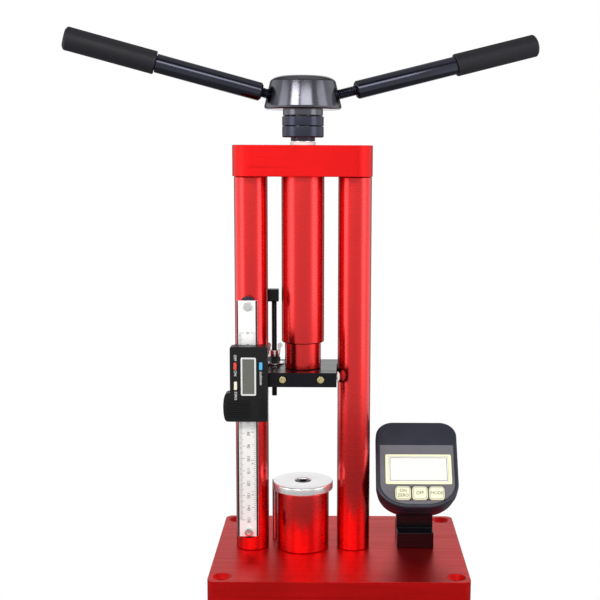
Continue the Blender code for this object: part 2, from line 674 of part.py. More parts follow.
def slider_keys():
    finishes = {"zero": "key_red", "power": "key_cream", "units": "key_blue"}
    for key, (x0, x1, z0, z1) in SLIDER_KEYS.items():
        bm = block((x0, SLIDER_FRONT - 1.1, z0), (x1, -34.2, z1), 0.25)
        add("slider_key_" + key, bm, finishes[key],
            ((x0 + x1) / 2, SLIDER_FRONT, (z0 + z1) / 2))


# ---------------------------------------------------------------- load display

def case_outline(inset=0.0, steps=7):
    """The case's (x, z) outline: round shoulders at the top and a deep curve at the bottom."""
    half, top = CASE_HALF_X - inset, CASE_H - inset
    shoulder, chin = (14.0 - inset, 12.0 - inset), (26.0 - inset, 20.0 - inset)
    corners = ((1, 1, shoulder), (-1, 1, shoulder), (-1, -1, chin), (1, -1, chin))
    points = []
    for quarter, (side_x, side_z, (radius_x, radius_z)) in enumerate(corners):
        middle_x = side_x * (half - radius_x)
        middle_z = top - radius_z if side_z > 0 else inset + radius_z
        for step in range(steps + 1):
            angle = (quarter + step / steps) * pi / 2
            points.append((middle_x + radius_x * cos(angle), middle_z + radius_z * sin(angle)))
    return points


def lofted(sections):
    """Closed body through (y, outline) sections that have equally many (x, z) points."""
    bm = bmesh.new()
    rings = [[bm.verts.new((x, y, z)) for x, z in outline] for y, outline in sections]
    for near, far in zip(rings, rings[1:]):
        for k, vert in enumerate(near):
            after = (k + 1) % len(near)
            bm.faces.new((vert, near[after], far[after], far[k]))
    bm.faces.new(rings[0])
    bm.faces.new(rings[-1])
    bmesh.ops.recalc_face_normals(bm, faces=bm.faces)
    return bm


def panel_outline(inset):
    """The lower part of the case's outline, cut off level above the window."""
    low = [(x, z) for x, z in case_outline(inset) if z < CASE_H / 2]
    half = CASE_HALF_X - inset
    return [(half, PANEL_TOP), (-half, PANEL_TOP), *low]


BATTERY_SPAN = (-24.3, 24.3, 34.8, 61.5)


def key_span(index):
    middle = KEY_MIDDLE_X + (index - 1) * KEY_PITCH
    return (middle - KEY_W / 2, middle + KEY_W / 2, *KEY_Z)


def display_back_shell(carrier):
    near = CASE_SPLIT + GAP
    bm = lofted([(near, case_outline()), (CASE_D - 1.5, case_outline(CASE_TAPER - 1)),
                 (CASE_D, case_outline(CASE_TAPER))])
    cavity = lofted([(near - 1, case_outline(CASE_WALL)),
                     (CASE_D - 2, case_outline(CASE_WALL + CASE_TAPER))])
    opening = front_hole(BATTERY_SPAN, 0.4, CASE_D - 4, CASE_D + 2)
    ledge = front_hole(BATTERY_SPAN, 2.0, CASE_D - 1.2, CASE_D + 2)
    add("display_back_shell", cut(bm, cavity, opening, ledge), "slate_plastic",
        parent=carrier)


def display_front_shell(carrier):
    bm = lofted([(0, case_outline(1.0)), (1.0, case_outline()), (CASE_SPLIT, case_outline())])
    cavity = lofted([(2.2, case_outline(CASE_WALL + 0.8)),
                     (CASE_SPLIT + 1, case_outline(CASE_WALL))])
    recess = front_slab(panel_outline(PANEL_INSET - GAP), -1, 0.8)
    window = front_hole((*WINDOW_X, *WINDOW_Z), GAP, -1, 3)
    keys = [front_hole(key_span(k), GAP, -1, 6) for k in range(3)]
    add("display_front_shell", cut(bm, cavity, recess, window, *keys), "slate_plastic",
        parent=carrier)


def display_fittings(carrier):
    panel = front_slab(panel_outline(PANEL_INSET), 0.05, 0.5)
    openings = [front_hole(key_span(k), GAP, -1, 3) for k in range(3)]
    openings.append(front_hole((*WINDOW_X, *WINDOW_Z), GAP, -1, 3))
    border = block((WINDOW_X[0] - 2.7, -0.6, WINDOW_Z[0] - 2),
                   (WINDOW_X[1] + 2.7, 0.3, WINDOW_Z[1] + 1.8), 0.2)
    add("display_panel", cut(fused(panel, border), *openings), "panel_grey", parent=carrier)
    add("display_lcd", block((WINDOW_X[0], -0.6, WINDOW_Z[0]), (WINDOW_X[1], 3.6, WINDOW_Z[1]),
                             0.15), "lcd_glass", parent=carrier)
    add("display_board", block((-22, 6.0, 13), (22, 7.6, 68), 0.1), "board_green",
        parent=carrier)
    x0, x1, z0, z1 = BATTERY_SPAN
    add("display_battery", block((x0, 10, z0), (x1, 26.5, z1), 1.0), "dark_steel",
        parent=carrier)
    cover = block((x0 - 1.7, CASE_D - 0.9, z0 - 1.7), (x1 + 1.7, CASE_D, z1 + 1.7), 0.2)
    add("display_battery_cover", cover, "slate_plastic", parent=carrier)


def display_keys(carrier):
    for index, name in enumerate(("left", "middle", "right")):
        x0, x1, z0, z1 = key_span(index)
        bm = block((x0, -1.5, z0), (x1, 3.8, z1), 0.5, 2)
        add("display_key_" + name, bm, "pale_yellow",
            ((x0 + x1) / 2, 0, (z0 + z1) / 2), parent=carrier)


def display_bracket():
    """Foot block with an upright whose sloping end meets the back of the case."""
    _, face_y, face_z = DISPLAY_AT
    depth = CASE_D + 0.35
    back_y = face_y + depth * cos(DISPLAY_TILT)
    back_z = face_z - depth * sin(DISPLAY_TILT)

    def slope(y):
        return back_z + (y - back_y) / tan(DISPLAY_TILT)

    low, step = BASE_T + GAP, BASE_T + BRACKET_FOOT_H
    y0, y1 = UPRIGHT_Y
    side = [(BRACKET_Y[0], low), (BRACKET_Y[1], low), (BRACKET_Y[1], step), (y1, step),
            (y1, slope(y1)), (y0, slope(y0)), (y0, step), (BRACKET_Y[0], step)]
    bm = slab(side, *BRACKET_X)
    matrix = Matrix(((0, 0, 1), (1, 0, 0), (0, 1, 0)))
    bmesh.ops.transform(bm, verts=bm.verts, matrix=matrix.to_4x4())
    bmesh.ops.recalc_face_normals(bm, faces=bm.faces)
    dowels = [moved(rod(DOWEL_R, BASE_T - DOWEL_DEPTH, low + 4), *xy) for xy in DOWEL_XY]
    add("display_bracket", fused(bm, *dowels), "black_anodised")


def load_display():
    carrier = frame_at("display_frame", DISPLAY_AT, (-DISPLAY_TILT, 0, 0))
    display_back_shell(carrier)
    display_front_shell(carrier)
    display_fittings(carrier)
    display_keys(carrier)
    display_bracket()


# ---------------------------------------------------------------- assembly

def clear_scene():
    for obj in list(bpy.data.objects):
        bpy.data.objects.remove(obj)


def build():
    clear_scene()
    base_plate()
    columns()
    column_screws()
    top_plate()
    guide_parts()
    load_parts()
    stop_post()
    lead_screw()
    lock_collars()
    hub()
    handle("right", HANDLE_TURN)
    handle("left", HANDLE_TURN + pi)
    ram_parts()
    press_foot()
    scale_arm()
    guide_buttons()
    stop_parts()
    scale_beam()
    slider_frame()
    slider_housing()
    slider_fittings()
    slider_keys()
    load_display()


build()
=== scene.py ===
"""Looks of the bench-top screw press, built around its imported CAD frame.

Lengths are in millimetres and become metres as each mesh is stored. Sizes come from the CAD
nodes' boxes where they can, and otherwise repeat the CAD's own driving dimensions.
"""

import json
from math import cos, pi, radians, sin, tan

import bmesh
import bpy
from mathutils import Matrix, Vector


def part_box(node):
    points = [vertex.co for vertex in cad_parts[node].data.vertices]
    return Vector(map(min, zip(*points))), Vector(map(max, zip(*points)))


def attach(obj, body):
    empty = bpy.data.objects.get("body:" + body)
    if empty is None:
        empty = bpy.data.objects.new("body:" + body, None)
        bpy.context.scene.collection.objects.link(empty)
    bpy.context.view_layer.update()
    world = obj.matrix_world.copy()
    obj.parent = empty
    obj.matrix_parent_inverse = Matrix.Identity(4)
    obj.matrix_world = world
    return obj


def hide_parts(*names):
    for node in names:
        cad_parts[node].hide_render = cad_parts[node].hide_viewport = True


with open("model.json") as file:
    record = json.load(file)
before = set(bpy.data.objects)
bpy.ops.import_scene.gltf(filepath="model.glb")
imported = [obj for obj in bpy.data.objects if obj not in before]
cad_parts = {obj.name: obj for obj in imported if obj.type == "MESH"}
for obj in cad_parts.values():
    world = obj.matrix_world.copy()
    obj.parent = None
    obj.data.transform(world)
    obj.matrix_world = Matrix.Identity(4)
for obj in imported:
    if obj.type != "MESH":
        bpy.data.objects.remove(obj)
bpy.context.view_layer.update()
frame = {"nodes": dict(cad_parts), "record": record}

MM = 0.001
GAP = 0.3           # clearance between pieces, as in the CAD
SKIN = 0.05         # clearance of resting faces, and depth of printed marks
FINE = 128          # sides of the large round pieces
INCH = 25.4
SHARP = radians(32)
BODY_OF = {node: body for body, nodes in frame["record"]["behaviour"]["bodies"].items()
           for node in nodes}


def span(node):
    """A CAD node's lowest and highest corners, in millimetres."""
    low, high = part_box(node)
    return Vector(low) / MM, Vector(high) / MM


def middle(node):
    low, high = span(node)
    return (low + high) / 2


BASE_LOW, BASE_HIGH = span("base_plate")
BASE_T = BASE_HIGH.z
BASE_HOLE_INSET = 10.5
BASE_CORNER_R = 6.0
COLUMN_X = 40.8
PLATE_LOW, PLATE_HIGH = span("top_plate")
PLATE_CORNER_R = 15.5
STOP = middle("stop_post")
STOP_XY = (STOP.x, STOP.y)
STOP_R = (span("stop_rod")[1].x - span("stop_rod")[0].x) / 2
STOP_BORE_R = STOP_R + GAP
SCREW_R = 7.0
SCREW_RUN_R = SCREW_R + GAP
SLEEVE_BORE_R = 14.7
RAM_R = 14.35
CUP_R = 21.0
FOOT_HALF_X = 27.0
FOOT_STEP_Y = 14.6
BUTTON_R = 4.2
HANDLE_LIFT = radians(14.4)
HANDLE_TURN = radians(10.4)
HANDLE_ROOT_Z = BASE_T + 355.4
HANDLE_START = {"left": 33.0, "right": 42.8}
BAR_R = 7.15
BAR_LENGTH = 82.7
GRIP_R = 8.9
HANDLE_LENGTH = 152.0
STUD_R = 3.95
BEAM_EDGE = 1.25
SCALE_ZERO_Z = BASE_T + 179.1
SLIDER_FRONT = -37.0
SLIDER_LEFT = -54.9
SLIDER_WALL = 1.6
SLIDER_RIM = 1.3
SWELL_H = 22.5
SWELL_REACH = 5.3
SLIDER_KEYS = ("zero", "power", "units")
DISPLAY_AT = (92.1, -25.0, BASE_T + 40.2)
DISPLAY_TILT = radians(37.0)
CASE_HALF_X = 33.0
CASE_H = 73.0
CASE_D = 30.0
CASE_SPLIT = 12.0
CASE_TAPER = 4.0
CASE_WALL = 2.2
PANEL_INSET = 3.2
PANEL_TOP = 53.0
WINDOW_X = (-22.9, 24.9)
WINDOW_Z = (21.4, 42.8)
KEY_Z = (6.1, 17.2)
KEY_W = 12.3
KEY_PITCH = 13.4
KEY_MIDDLE_X = 1.5
BATTERY_SPAN = (-24.3, 24.3, 34.8, 61.5)
BRACKET_FOOT_H = 12.9
UPRIGHT_Y = (5.0, 18.0)


# ---------------------------------------------------------------- mesh tools

def softened(profile, reach, steps=3):
    """Round each corner of a profile that lies off the axis, by a small curve."""
    ring = profile[0][0] > 0
    count = len(profile)
    out = []
    for k, point in enumerate(profile):
        on_end = not ring and k in (0, count - 1)
        if on_end:
            out.append(point)
            continue
        here = Vector(point)
        before, after = Vector(profile[k - 1]) - here, Vector(profile[(k + 1) % count]) - here
        size = min(reach, before.length * 0.45, after.length * 0.45)
        if size < 1e-4 or before.angle(after, pi) > radians(165):
            out.append(point)
            continue
        a, b = here + before.normalized() * size, here + after.normalized() * size
        for step in range(steps + 1):
            t = step / steps
            bent = a * (1 - t) ** 2 + here * 2 * t * (1 - t) + b * t ** 2
            out.append((max(bent.x, 0.0), bent.y))
    return out


def turned(profile, steps=96, soft=0.35):
    """Turn (radius, height) points about +Z. Ends off the axis close into a ring."""
    profile = softened(profile, soft)
    bm = bmesh.new()
    verts = [bm.verts.new((r, 0.0, z)) for r, z in profile]
    pairs = list(zip(verts, verts[1:]))
    if profile[0][0] > 0:
        pairs.append((verts[-1], verts[0]))
    edges = [bm.edges.new(pair) for pair in pairs]
    bmesh.ops.spin(bm, geom=verts + edges, cent=(0, 0, 0), axis=(0, 0, 1),
                   angle=2 * pi, steps=steps, use_merge=True)
    bmesh.ops.remove_doubles(bm, verts=bm.verts, dist=1e-4)
    bmesh.ops.recalc_face_normals(bm, faces=bm.faces)
    return bm


def drill(radius, low, high, steps=48):
    """Plain cylinder for cutting a hole along +Z."""
    return turned([(0, low), (radius, low), (radius, high), (0, high)], steps, 0)


def tube(outer, inner, low, high, chamfer=0.4, steps=96):
    """Ring along +Z with chamfered outer edges."""
    return turned([(inner, low), (outer - chamfer, low), (outer, low + chamfer),
                   (outer, high - chamfer), (outer - chamfer, high), (inner, high)], steps, 0.2)


def block(low, high):
    bm = bmesh.new()
    low, high = Vector(low), Vector(high)
    place = Matrix.Translation((low + high) / 2) @ Matrix.Diagonal((*(high - low), 1))
    bmesh.ops.create_cube(bm, size=1.0, matrix=place)
    return bm


def slab(outline, low, high):
    """Prism of an (x, y) outline between two heights."""
    bm = bmesh.new()
    face = bm.faces.new([bm.verts.new((x, y, low)) for x, y in outline])
    raised = bmesh.ops.extrude_face_region(bm, geom=[face])["geom"]
    tops = [v for v in raised if isinstance(v, bmesh.types.BMVert)]
    bmesh.ops.translate(bm, verts=tops, vec=(0, 0, high - low))
    bmesh.ops.recalc_face_normals(bm, faces=bm.faces)
    return bm


def rounded(x_span, y_span, radius, steps=12):
    """Rectangle with round corners, as (x, y) points."""
    points = []
    corners = ((x_span[1], y_span[1], 1, 1), (x_span[0], y_span[1], -1, 1),
               (x_span[0], y_span[0], -1, -1), (x_span[1], y_span[0], 1, -1))
    for quarter, (x, y, side_x, side_y) in enumerate(corners):
        for step in range(steps + 1):
            angle = (quarter + step / steps) * pi / 2
            points.append((x - side_x * radius + radius * cos(angle),
                           y - side_y * radius + radius * sin(angle)))
    return points


def skinned(bm, rings):
    """Close a stack of equally long rings of vertices into one body."""
    for near, far in zip(rings, rings[1:]):
        for k, vert in enumerate(near):
            after = (k + 1) % len(near)
            bm.faces.new((vert, near[after], far[after], far[k]))
    bm.faces.new(rings[0])
    bm.faces.new(rings[-1])
    bmesh.ops.recalc_face_normals(bm, faces=bm.faces)
    return bm


def lofted(sections):
    """Closed body through (y, outline) sections that have equally many (x, z) points."""
    bm = bmesh.new()
    return skinned(bm, [[bm.verts.new((x, y, z)) for x, z in outline]
                        for y, outline in sections])


def ringed(bm, radii, z):
    """Ring of vertices about +Z at one height, with a radius for each."""
    count = len(radii)
    return [bm.verts.new((r * cos(2 * pi * k / count), r * sin(2 * pi * k / count), z))
            for k, r in enumerate(radii)]


def moved(bm, x=0.0, y=0.0, z=0.0):
    bmesh.ops.translate(bm, verts=bm.verts, vec=(x, y, z))
    return bm


def rotated(bm, angle, axis):
    bmesh.ops.rotate(bm, verts=bm.verts, cent=(0, 0, 0), matrix=Matrix.Rotation(angle, 3, axis))
    return bm


def z_to_x(bm):
    return rotated(bm, pi / 2, 'Y')


def z_to_front(bm):
    return rotated(bm, pi / 2, 'X')


def front_slab(outline, near, far):
    """Slab whose (x, z) outline faces front, between two y values."""
    return rotated(slab([(x, -z) for x, z in outline], near, far), -pi / 2, 'X')


def front_hole(opening, margin, near, far):
    x0, x1, z0, z1 = opening
    return block((x0 - margin, near, z0 - margin), (x1 + margin, far, z1 + margin))


def joined(*meshes):
    """Several meshes in one, left as separate shells."""
    whole = bmesh.new()
    for bm in meshes:
        part = bpy.data.meshes.new("part")
        bm.to_mesh(part)
        whole.from_mesh(part)
        bm.free()
        bpy.data.meshes.remove(part)
    return whole


def stored(name, bm):
    mesh = bpy.data.meshes.new(name)
    bm.to_mesh(mesh)
    bm.free()
    obj = bpy.data.objects.new(name, mesh)
    bpy.context.scene.collection.objects.link(obj)
    return obj


def combined(bm, others, operation):
    """Apply an exact Boolean with each of the others in turn."""
    body = stored("body", bm)
    tools = [stored("tool", other) for other in others]
    for tool in tools:
        step = body.modifiers.new("step", 'BOOLEAN')
        step.operation = operation
        step.solver = 'EXACT'
        step.object = tool
    result = bmesh.new()
    result.from_object(body, bpy.context.evaluated_depsgraph_get())
    for obj in [body, *tools]:
        mesh = obj.data
        bpy.data.objects.remove(obj)
        bpy.data.meshes.remove(mesh)
    return result


def cut(bm, *cutters):
    return combined(bm, cutters, 'DIFFERENCE')


def fused(bm, *others):
    return combined(bm, others, 'UNION')


def threaded(radius, depth, pitch, low, high, around=40, per_turn=8):
    """Rod with a helical thread: the radius follows the turn and the height."""
    rows = max(2, int((high - low) / pitch * per_turn))
    bm = bmesh.new()
    rings = []
    for row in range(rows + 1):
        z = low + (high - low) * row / rows
        fade = min(1.0, (z - low) / pitch, (high - z) / pitch)
        phases = [(z / pitch - k / around) % 1.0 for k in range(around)]
        radii = [radius - depth * (1 - fade * abs(2 * phase - 1)) for phase in phases]
        rings.append(ringed(bm, radii, z))
    return skinned(bm, rings)


def socket_screw(head_r, head_h, shank_r, length, steps=48):
    """Socket screw with its head's top at z = 0, a hexagon socket, and its shank down."""
    tip = -head_h - length
    bm = turned([(0, 0), (head_r - 0.25, 0), (head_r, -0.25), (head_r, -head_h),
                 (shank_r, -head_h), (shank_r, tip + 0.4), (shank_r - 0.4, tip), (0, tip)],
                steps, 0.15)
    across = head_r * 0.55
    hexagon = [(across * cos(k * pi / 3), across * sin(k * pi / 3)) for k in range(6)]
    return cut(bm, slab(hexagon, -head_h * 0.6, 1))


def lettering(text, size, place, depth=0.05):
    """Raised generic lettering, centred on the place matrix's XY plane."""
    curve = bpy.data.curves.new("text", 'FONT')
    curve.body = text
    curve.size = size
    curve.extrude = depth
    curve.align_x = 'CENTER'
    curve.align_y = 'CENTER'
    obj = bpy.data.objects.new("text", curve)
    bpy.context.scene.collection.objects.link(obj)
    mesh = bpy.data.meshes.new_from_object(
        obj.evaluated_get(bpy.context.evaluated_depsgraph_get()))
    bpy.data.objects.remove(obj)
    bpy.data.curves.remove(curve)
    bm = bmesh.new()
    bm.from_mesh(mesh)
    bpy.data.meshes.remove(mesh)
    bmesh.ops.transform(bm, verts=bm.verts, matrix=place)
    return bm


def facing_front(x, y, z, turn=0.0):
    """Place for lettering that faces the front, turned clockwise by an angle."""
    return (Matrix.Translation((x, y, z)) @ Matrix.Rotation(pi / 2, 4, 'X')
            @ Matrix.Rotation(-turn, 4, 'Z'))


# ---------------------------------------------------------------- materials

def blank(name, colour, metallic, roughness):
    made = bpy.data.materials.new(name)
    made.use_nodes = True
    tree = made.node_tree
    shader = tree.nodes["Principled BSDF"]
    shader.inputs["Base Color"].default_value = (*colour, 1)
    shader.inputs["Metallic"].default_value = metallic
    shader.inputs["Roughness"].default_value = roughness
    return made, tree, shader


def grain(tree, scale, detail=4.0, size=1.0):
    """Noise in object space, stretched by a scale per axis."""
    coords = tree.nodes.new("ShaderNodeTexCoord")
    mapping = tree.nodes.new("ShaderNodeMapping")
    mapping.inputs["Scale"].default_value = scale
    noise = tree.nodes.new("ShaderNodeTexNoise")
    noise.inputs["Scale"].default_value = size
    noise.inputs["Detail"].default_value = detail
    tree.links.new(coords.outputs["Object"], mapping.inputs["Vector"])
    tree.links.new(mapping.outputs["Vector"], noise.inputs["Vector"])
    return noise.outputs["Fac"]


def ranged(tree, value, spans):
    """Map a value, given (from low, from high, to low, to high)."""
    node = tree.nodes.new("ShaderNodeMapRange")
    for socket, number in zip(("From Min", "From Max", "To Min", "To Max"), spans):
        node.inputs[socket].default_value = number
    tree.links.new(value, node.inputs["Value"])
    return node.outputs["Result"]


def spread(tree, value, low, high):
    """Map a noise value's middle range onto low to high."""
    return ranged(tree, value, (0.3, 0.7, low, high))


def tint(tree, shader, value, dark, light):
    mix = tree.nodes.new("ShaderNodeMix")
    mix.data_type = 'RGBA'
    mix.inputs["A"].default_value = (*dark, 1)
    mix.inputs["B"].default_value = (*light, 1)
    tree.links.new(value, mix.inputs["Factor"])
    tree.links.new(mix.outputs["Result"], shader.inputs["Base Color"])


def relief(tree, shader, value, strength, distance):
    bump = tree.nodes.new("ShaderNodeBump")
    bump.inputs["Strength"].default_value = strength
    bump.inputs["Distance"].default_value = distance
    tree.links.new(value, bump.inputs["Height"])
    tree.links.new(bump.outputs["Normal"], shader.inputs["Normal"])


def metal(name, colour, roughness, scale, strength=0.25, contrast=0.1, shade=0.8,
          metallic=1.0, coat=0.0):
    """Machined metal: marks along one direction vary its roughness, relief and colour."""
    made, tree, shader = blank(name, colour, metallic, roughness)
    shader.inputs["Coat Weight"].default_value = coat
    shader.inputs["Coat Roughness"].default_value = roughness * 0.7
    marks = grain(tree, scale, 6.0)
    tree.links.new(spread(tree, marks, roughness - contrast / 2, roughness + contrast),
                   shader.inputs["Roughness"])
    relief(tree, shader, marks, strength, 0.00012)
    patches = grain(tree, (22, 22, 22), 3.0)
    dark = tuple(c * shade for c in colour)
    tint(tree, shader, spread(tree, patches, 0.2, 1.0), dark, colour)
    return made


def plastic(name, colour, roughness, texture=1600, strength=0.25, shade=0.85, sheen=0.5):
    """Moulded plastic or rubber with a fine skin and slight patches."""
    made, tree, shader = blank(name, colour, 0.0, roughness)
    shader.inputs["Specular IOR Level"].default_value = sheen
    skin = grain(tree, (texture,) * 3, 2.0)
    relief(tree, shader, skin, strength, 0.0001)
    patches = grain(tree, (35, 35, 35), 4.0)
    tree.links.new(spread(tree, patches, roughness - 0.05, roughness + 0.07),
                   shader.inputs["Roughness"])
    dark = tuple(c * shade for c in colour)
    tint(tree, shader, spread(tree, patches, 0.0, 1.0), dark, colour)
    return made


RED = (0.76, 0.008, 0.009)
ALONG_X = (14, 1500, 1500)
ALONG_Z = (900, 900, 7)
AROUND_Z = (5, 5, 2600)
SATIN = (900, 900, 900)

LOOKS = {
    "red_flat": metal("red_brushed", RED, 0.4, ALONG_X, 0.6, 0.16, 0.82, coat=0.15),
    "red_round": metal("red_turned", RED, 0.25, AROUND_Z, 0.12, 0.07, 0.88, coat=0.8),
    "black_gloss": metal("black_gloss", (0.115, 0.115, 0.135), 0.15, AROUND_Z, 0.08, 0.05),
    "black_bar": metal("black_bar", (0.05, 0.052, 0.07), 0.14, SATIN, 0.03, 0.05),
    "black_anodised": metal("black_anodised", (0.05, 0.052, 0.075), 0.24, AROUND_Z, 0.1, 0.08),
    "black_block": metal("black_block", (0.02, 0.02, 0.024), 0.24, ALONG_X, 0.15, 0.1),
    "black_grip": plastic("black_grip", (0.007, 0.007, 0.011), 0.55, 1800, 0.3, sheen=0.3),
    "bright_steel": metal("bright_steel", (0.78, 0.78, 0.79), 0.16, AROUND_Z, 0.1, 0.08, 0.88),
    "satin_steel": metal("satin_steel", (0.95, 0.95, 0.94), 0.34, ALONG_Z, 0.2, 0.12, 0.95,
                         metallic=0.3),
    "bright_aluminium": metal("bright_aluminium", (0.95, 0.95, 0.96), 0.2, AROUND_Z, 0.12,
                              0.08, 0.95, metallic=0.8),
    "dark_steel": metal("dark_steel", (0.05, 0.05, 0.055), 0.34, SATIN, 0.1, 0.1, 0.7),
    "zinc_yellow": metal("zinc_yellow", (0.66, 0.57, 0.3), 0.26, SATIN, 0.08, 0.1, 0.75),
    "bronze": metal("bronze", (0.55, 0.36, 0.16), 0.35, AROUND_Z, 0.2, 0.1, 0.8),
    "white_plastic": plastic("white_plastic", (0.86, 0.85, 0.82), 0.42),
    "charcoal_plastic": plastic("charcoal_plastic", (0.007, 0.007, 0.008), 0.38, 2400, 0.3,
                                sheen=0.22),
    "slate_plastic": plastic("slate_plastic", (0.019, 0.021, 0.036), 0.34, 2200, 0.25,
                             sheen=0.4),
    "panel_grey": plastic("panel_grey", (0.14, 0.14, 0.16), 0.4, 1500, 0.15),
    "pale_yellow": plastic("pale_yellow", (0.9, 0.9, 0.66), 0.42, 1500, 0.15, 0.93),
    "border_yellow": plastic("border_yellow", (0.9, 0.9, 0.62), 0.4, 1500, 0.1, 0.92),
    "olive_ink": plastic("olive_ink", (0.12, 0.11, 0.03), 0.5, 1500, 0.1),
    "white_ink": plastic("white_ink", (0.85, 0.85, 0.85), 0.5, 1500, 0.1),
    "grey_ink": plastic("grey_ink", (0.08, 0.08, 0.085), 0.5, 1500, 0.1),
    "slider_glass": plastic("slider_glass", (0.12, 0.125, 0.105), 0.14, 300, 0.02, 0.9),
    "display_glass": plastic("display_glass", (0.86, 0.88, 0.86), 0.12, 300, 0.02, 0.96),
    "key_red": plastic("key_red", (0.72, 0.06, 0.04), 0.4),
    "key_cream": plastic("key_cream", (0.85, 0.8, 0.62), 0.4),
    "key_blue": plastic("key_blue", (0.08, 0.47, 0.82), 0.4),
    "board_green": plastic("board_green", (0.02, 0.16, 0.07), 0.4),
}


def piece(name, bm, look, *nodes, bevel=0.0, place=None, body=None, slot=None):
    """Store a mesh in metres, ride it on its node's body and let it stand for the nodes."""
    bmesh.ops.scale(bm, verts=bm.verts, vec=(MM, MM, MM))
    if place is not None:
        bmesh.ops.transform(bm, verts=bm.verts, matrix=place)
    obj = stored(name, bm)
    obj.data.materials.append(LOOKS[look])
    obj.data.shade_smooth()
    obj.data.set_sharp_from_angle(angle=SHARP)
    if bevel:
        edge = obj.modifiers.new("edge", 'BEVEL')
        edge.width = bevel * MM
        edge.segments = 3
        edge.limit_method = 'ANGLE'
        edge.angle_limit = SHARP
        edge.harden_normals = True
    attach(obj, body or BODY_OF[nodes[0]])
    if nodes:
        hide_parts(*nodes)
    return obj


# ---------------------------------------------------------------- frame

def base_plate():
    bm = slab(rounded((BASE_LOW.x, BASE_HIGH.x), (BASE_LOW.y, BASE_HIGH.y), BASE_CORNER_R),
              0, BASE_T)
    xs = (BASE_LOW.x + BASE_HOLE_INSET, BASE_HIGH.x - BASE_HOLE_INSET)
    ys = (BASE_LOW.y + BASE_HOLE_INSET, BASE_HIGH.y - BASE_HOLE_INSET)
    hole = [(0, -1), (3.6, -1), (3.6, BASE_T - 3.6), (7.2, BASE_T), (7.6, BASE_T + 1),
            (0, BASE_T + 1)]
    holes = [moved(turned(hole, 64, 0), x, y) for x in xs for y in ys]
    piece("base", cut(bm, *holes), "red_flat", "base_plate", bevel=0.6)


def columns():
    for side in ("left", "right"):
        node = "column_" + side
        low, high = span(node)
        x, radius = (low.x + high.x) / 2, (high.x - low.x) / 2
        bottom = BASE_T + SKIN
        bm = turned([(0, bottom), (radius - 0.5, bottom), (radius, bottom + 0.5),
                     (radius, high.z - 0.5), (radius - 0.5, high.z), (0, high.z)], FINE)
        piece("column_" + side + "_body", moved(bm, x), "red_round", node)
        screw = moved(socket_screw(7.2, 8.5, 3.7, 30), x, 0, PLATE_HIGH.z - 0.6)
        piece("plate_screw_" + side, screw, "dark_steel", "column_screw_" + side)


def top_plate():
    bm = slab(rounded((PLATE_LOW.x, PLATE_HIGH.x), (PLATE_LOW.y, PLATE_HIGH.y),
                      PLATE_CORNER_R, 16), PLATE_LOW.z, PLATE_HIGH.z)
    low, top = PLATE_LOW.z, PLATE_HIGH.z
    seat = top - 9.5
    screw = [(0, low - 1), (4.4, low - 1), (4.4, seat), (7.6, seat), (7.6, top + 1),
             (0, top + 1)]
    centre = [(0, low - 1), (17.2, low - 1), (17.2, low + 6.5), (14.6, low + 6.5),
              (14.6, low + 15), (10.15, low + 15), (10.15, top + 1), (0, top + 1)]
    holes = [moved(turned(screw, 64, 0), x) for x in (-COLUMN_X, COLUMN_X)]
    piece("plate", cut(bm, turned(centre, 96, 0), *holes), "red_flat", "top_plate", bevel=0.5)


def guides():
    low, high = span("guide_sleeve")
    radius = (high.x - low.x) / 2
    piece("sleeve", tube(radius, SLEEVE_BORE_R, low.z, high.z, 0.7, FINE), "red_round",
          "guide_sleeve")
    low, high = span("top_bushing")
    radius = (high.x - low.x) / 2
    piece("bush", tube(radius, SCREW_R + 0.35, low.z, high.z, 0.3), "white_plastic",
          "top_bushing")


# ---------------------------------------------------------------- load side

def load_cup():
    low, top = BASE_T + SKIN, span("load_cell_cup")[1].z
    bm = turned([(0, low), (CUP_R - 0.6, low), (CUP_R, low + 0.6), (CUP_R, top - 0.6),
                 (CUP_R - 0.6, top), (CUP_R - 3, top), (CUP_R - 3, low + 6), (0, low + 6)],
                FINE)
    piece("cup", bm, "red_round", "load_cell_cup")


def load_platform():
    low, high = span("load_platform")
    radius, top = (high.x - low.x) / 2, high.z
    disc = turned([(3.6, low.z), (radius - 0.7, low.z), (radius, low.z + 0.7),
                   (radius, top - 0.7), (radius - 0.7, top), (6.9, top), (6.35, top - 0.5),
                   (6.35, top - 3.2), (3.6, top - 3.2)], FINE)
    piece("platform", disc, "bright_aluminium", "load_platform")
    screw = moved(socket_screw(5.9, 2.4, 3.0, 13), 0, 0, top - 0.5)
    piece("platform_cap_screw", screw, "dark_steel", "platform_screw")


def stop_post():
    top, radius = span("stop_post")[1].z, STOP_R - 0.1
    bm = turned([(0, BASE_T - 8), (1.6, BASE_T - 8), (1.6, BASE_T + 0.1),
                 (radius, BASE_T + 0.1), (radius, top - 0.5), (radius - 0.5, top), (0, top)],
                48)
    piece("post", moved(bm, *STOP_XY), "bright_steel", "stop_post")


# ---------------------------------------------------------------- spindle

def collars():
    low, high = span("lock_collar_lower")
    face = low.z + 2.8
    radius = (high.x - low.x) / 2
    lower = turned([(SCREW_RUN_R, low.z), (9.5, low.z), (9.5, face), (radius - 0.6, face),
                    (radius, face + 0.6), (radius, high.z - 0.3), (radius - 0.3, high.z),
                    (SCREW_RUN_R, high.z)], FINE)
    piece("collar_lower", lower, "black_anodised", "lock_collar_lower")
    low, high = span("lock_collar_upper")
    piece("collar_upper", tube(radius, SCREW_RUN_R, low.z, high.z, 0.3, FINE), "black_anodised",
          "lock_collar_upper")


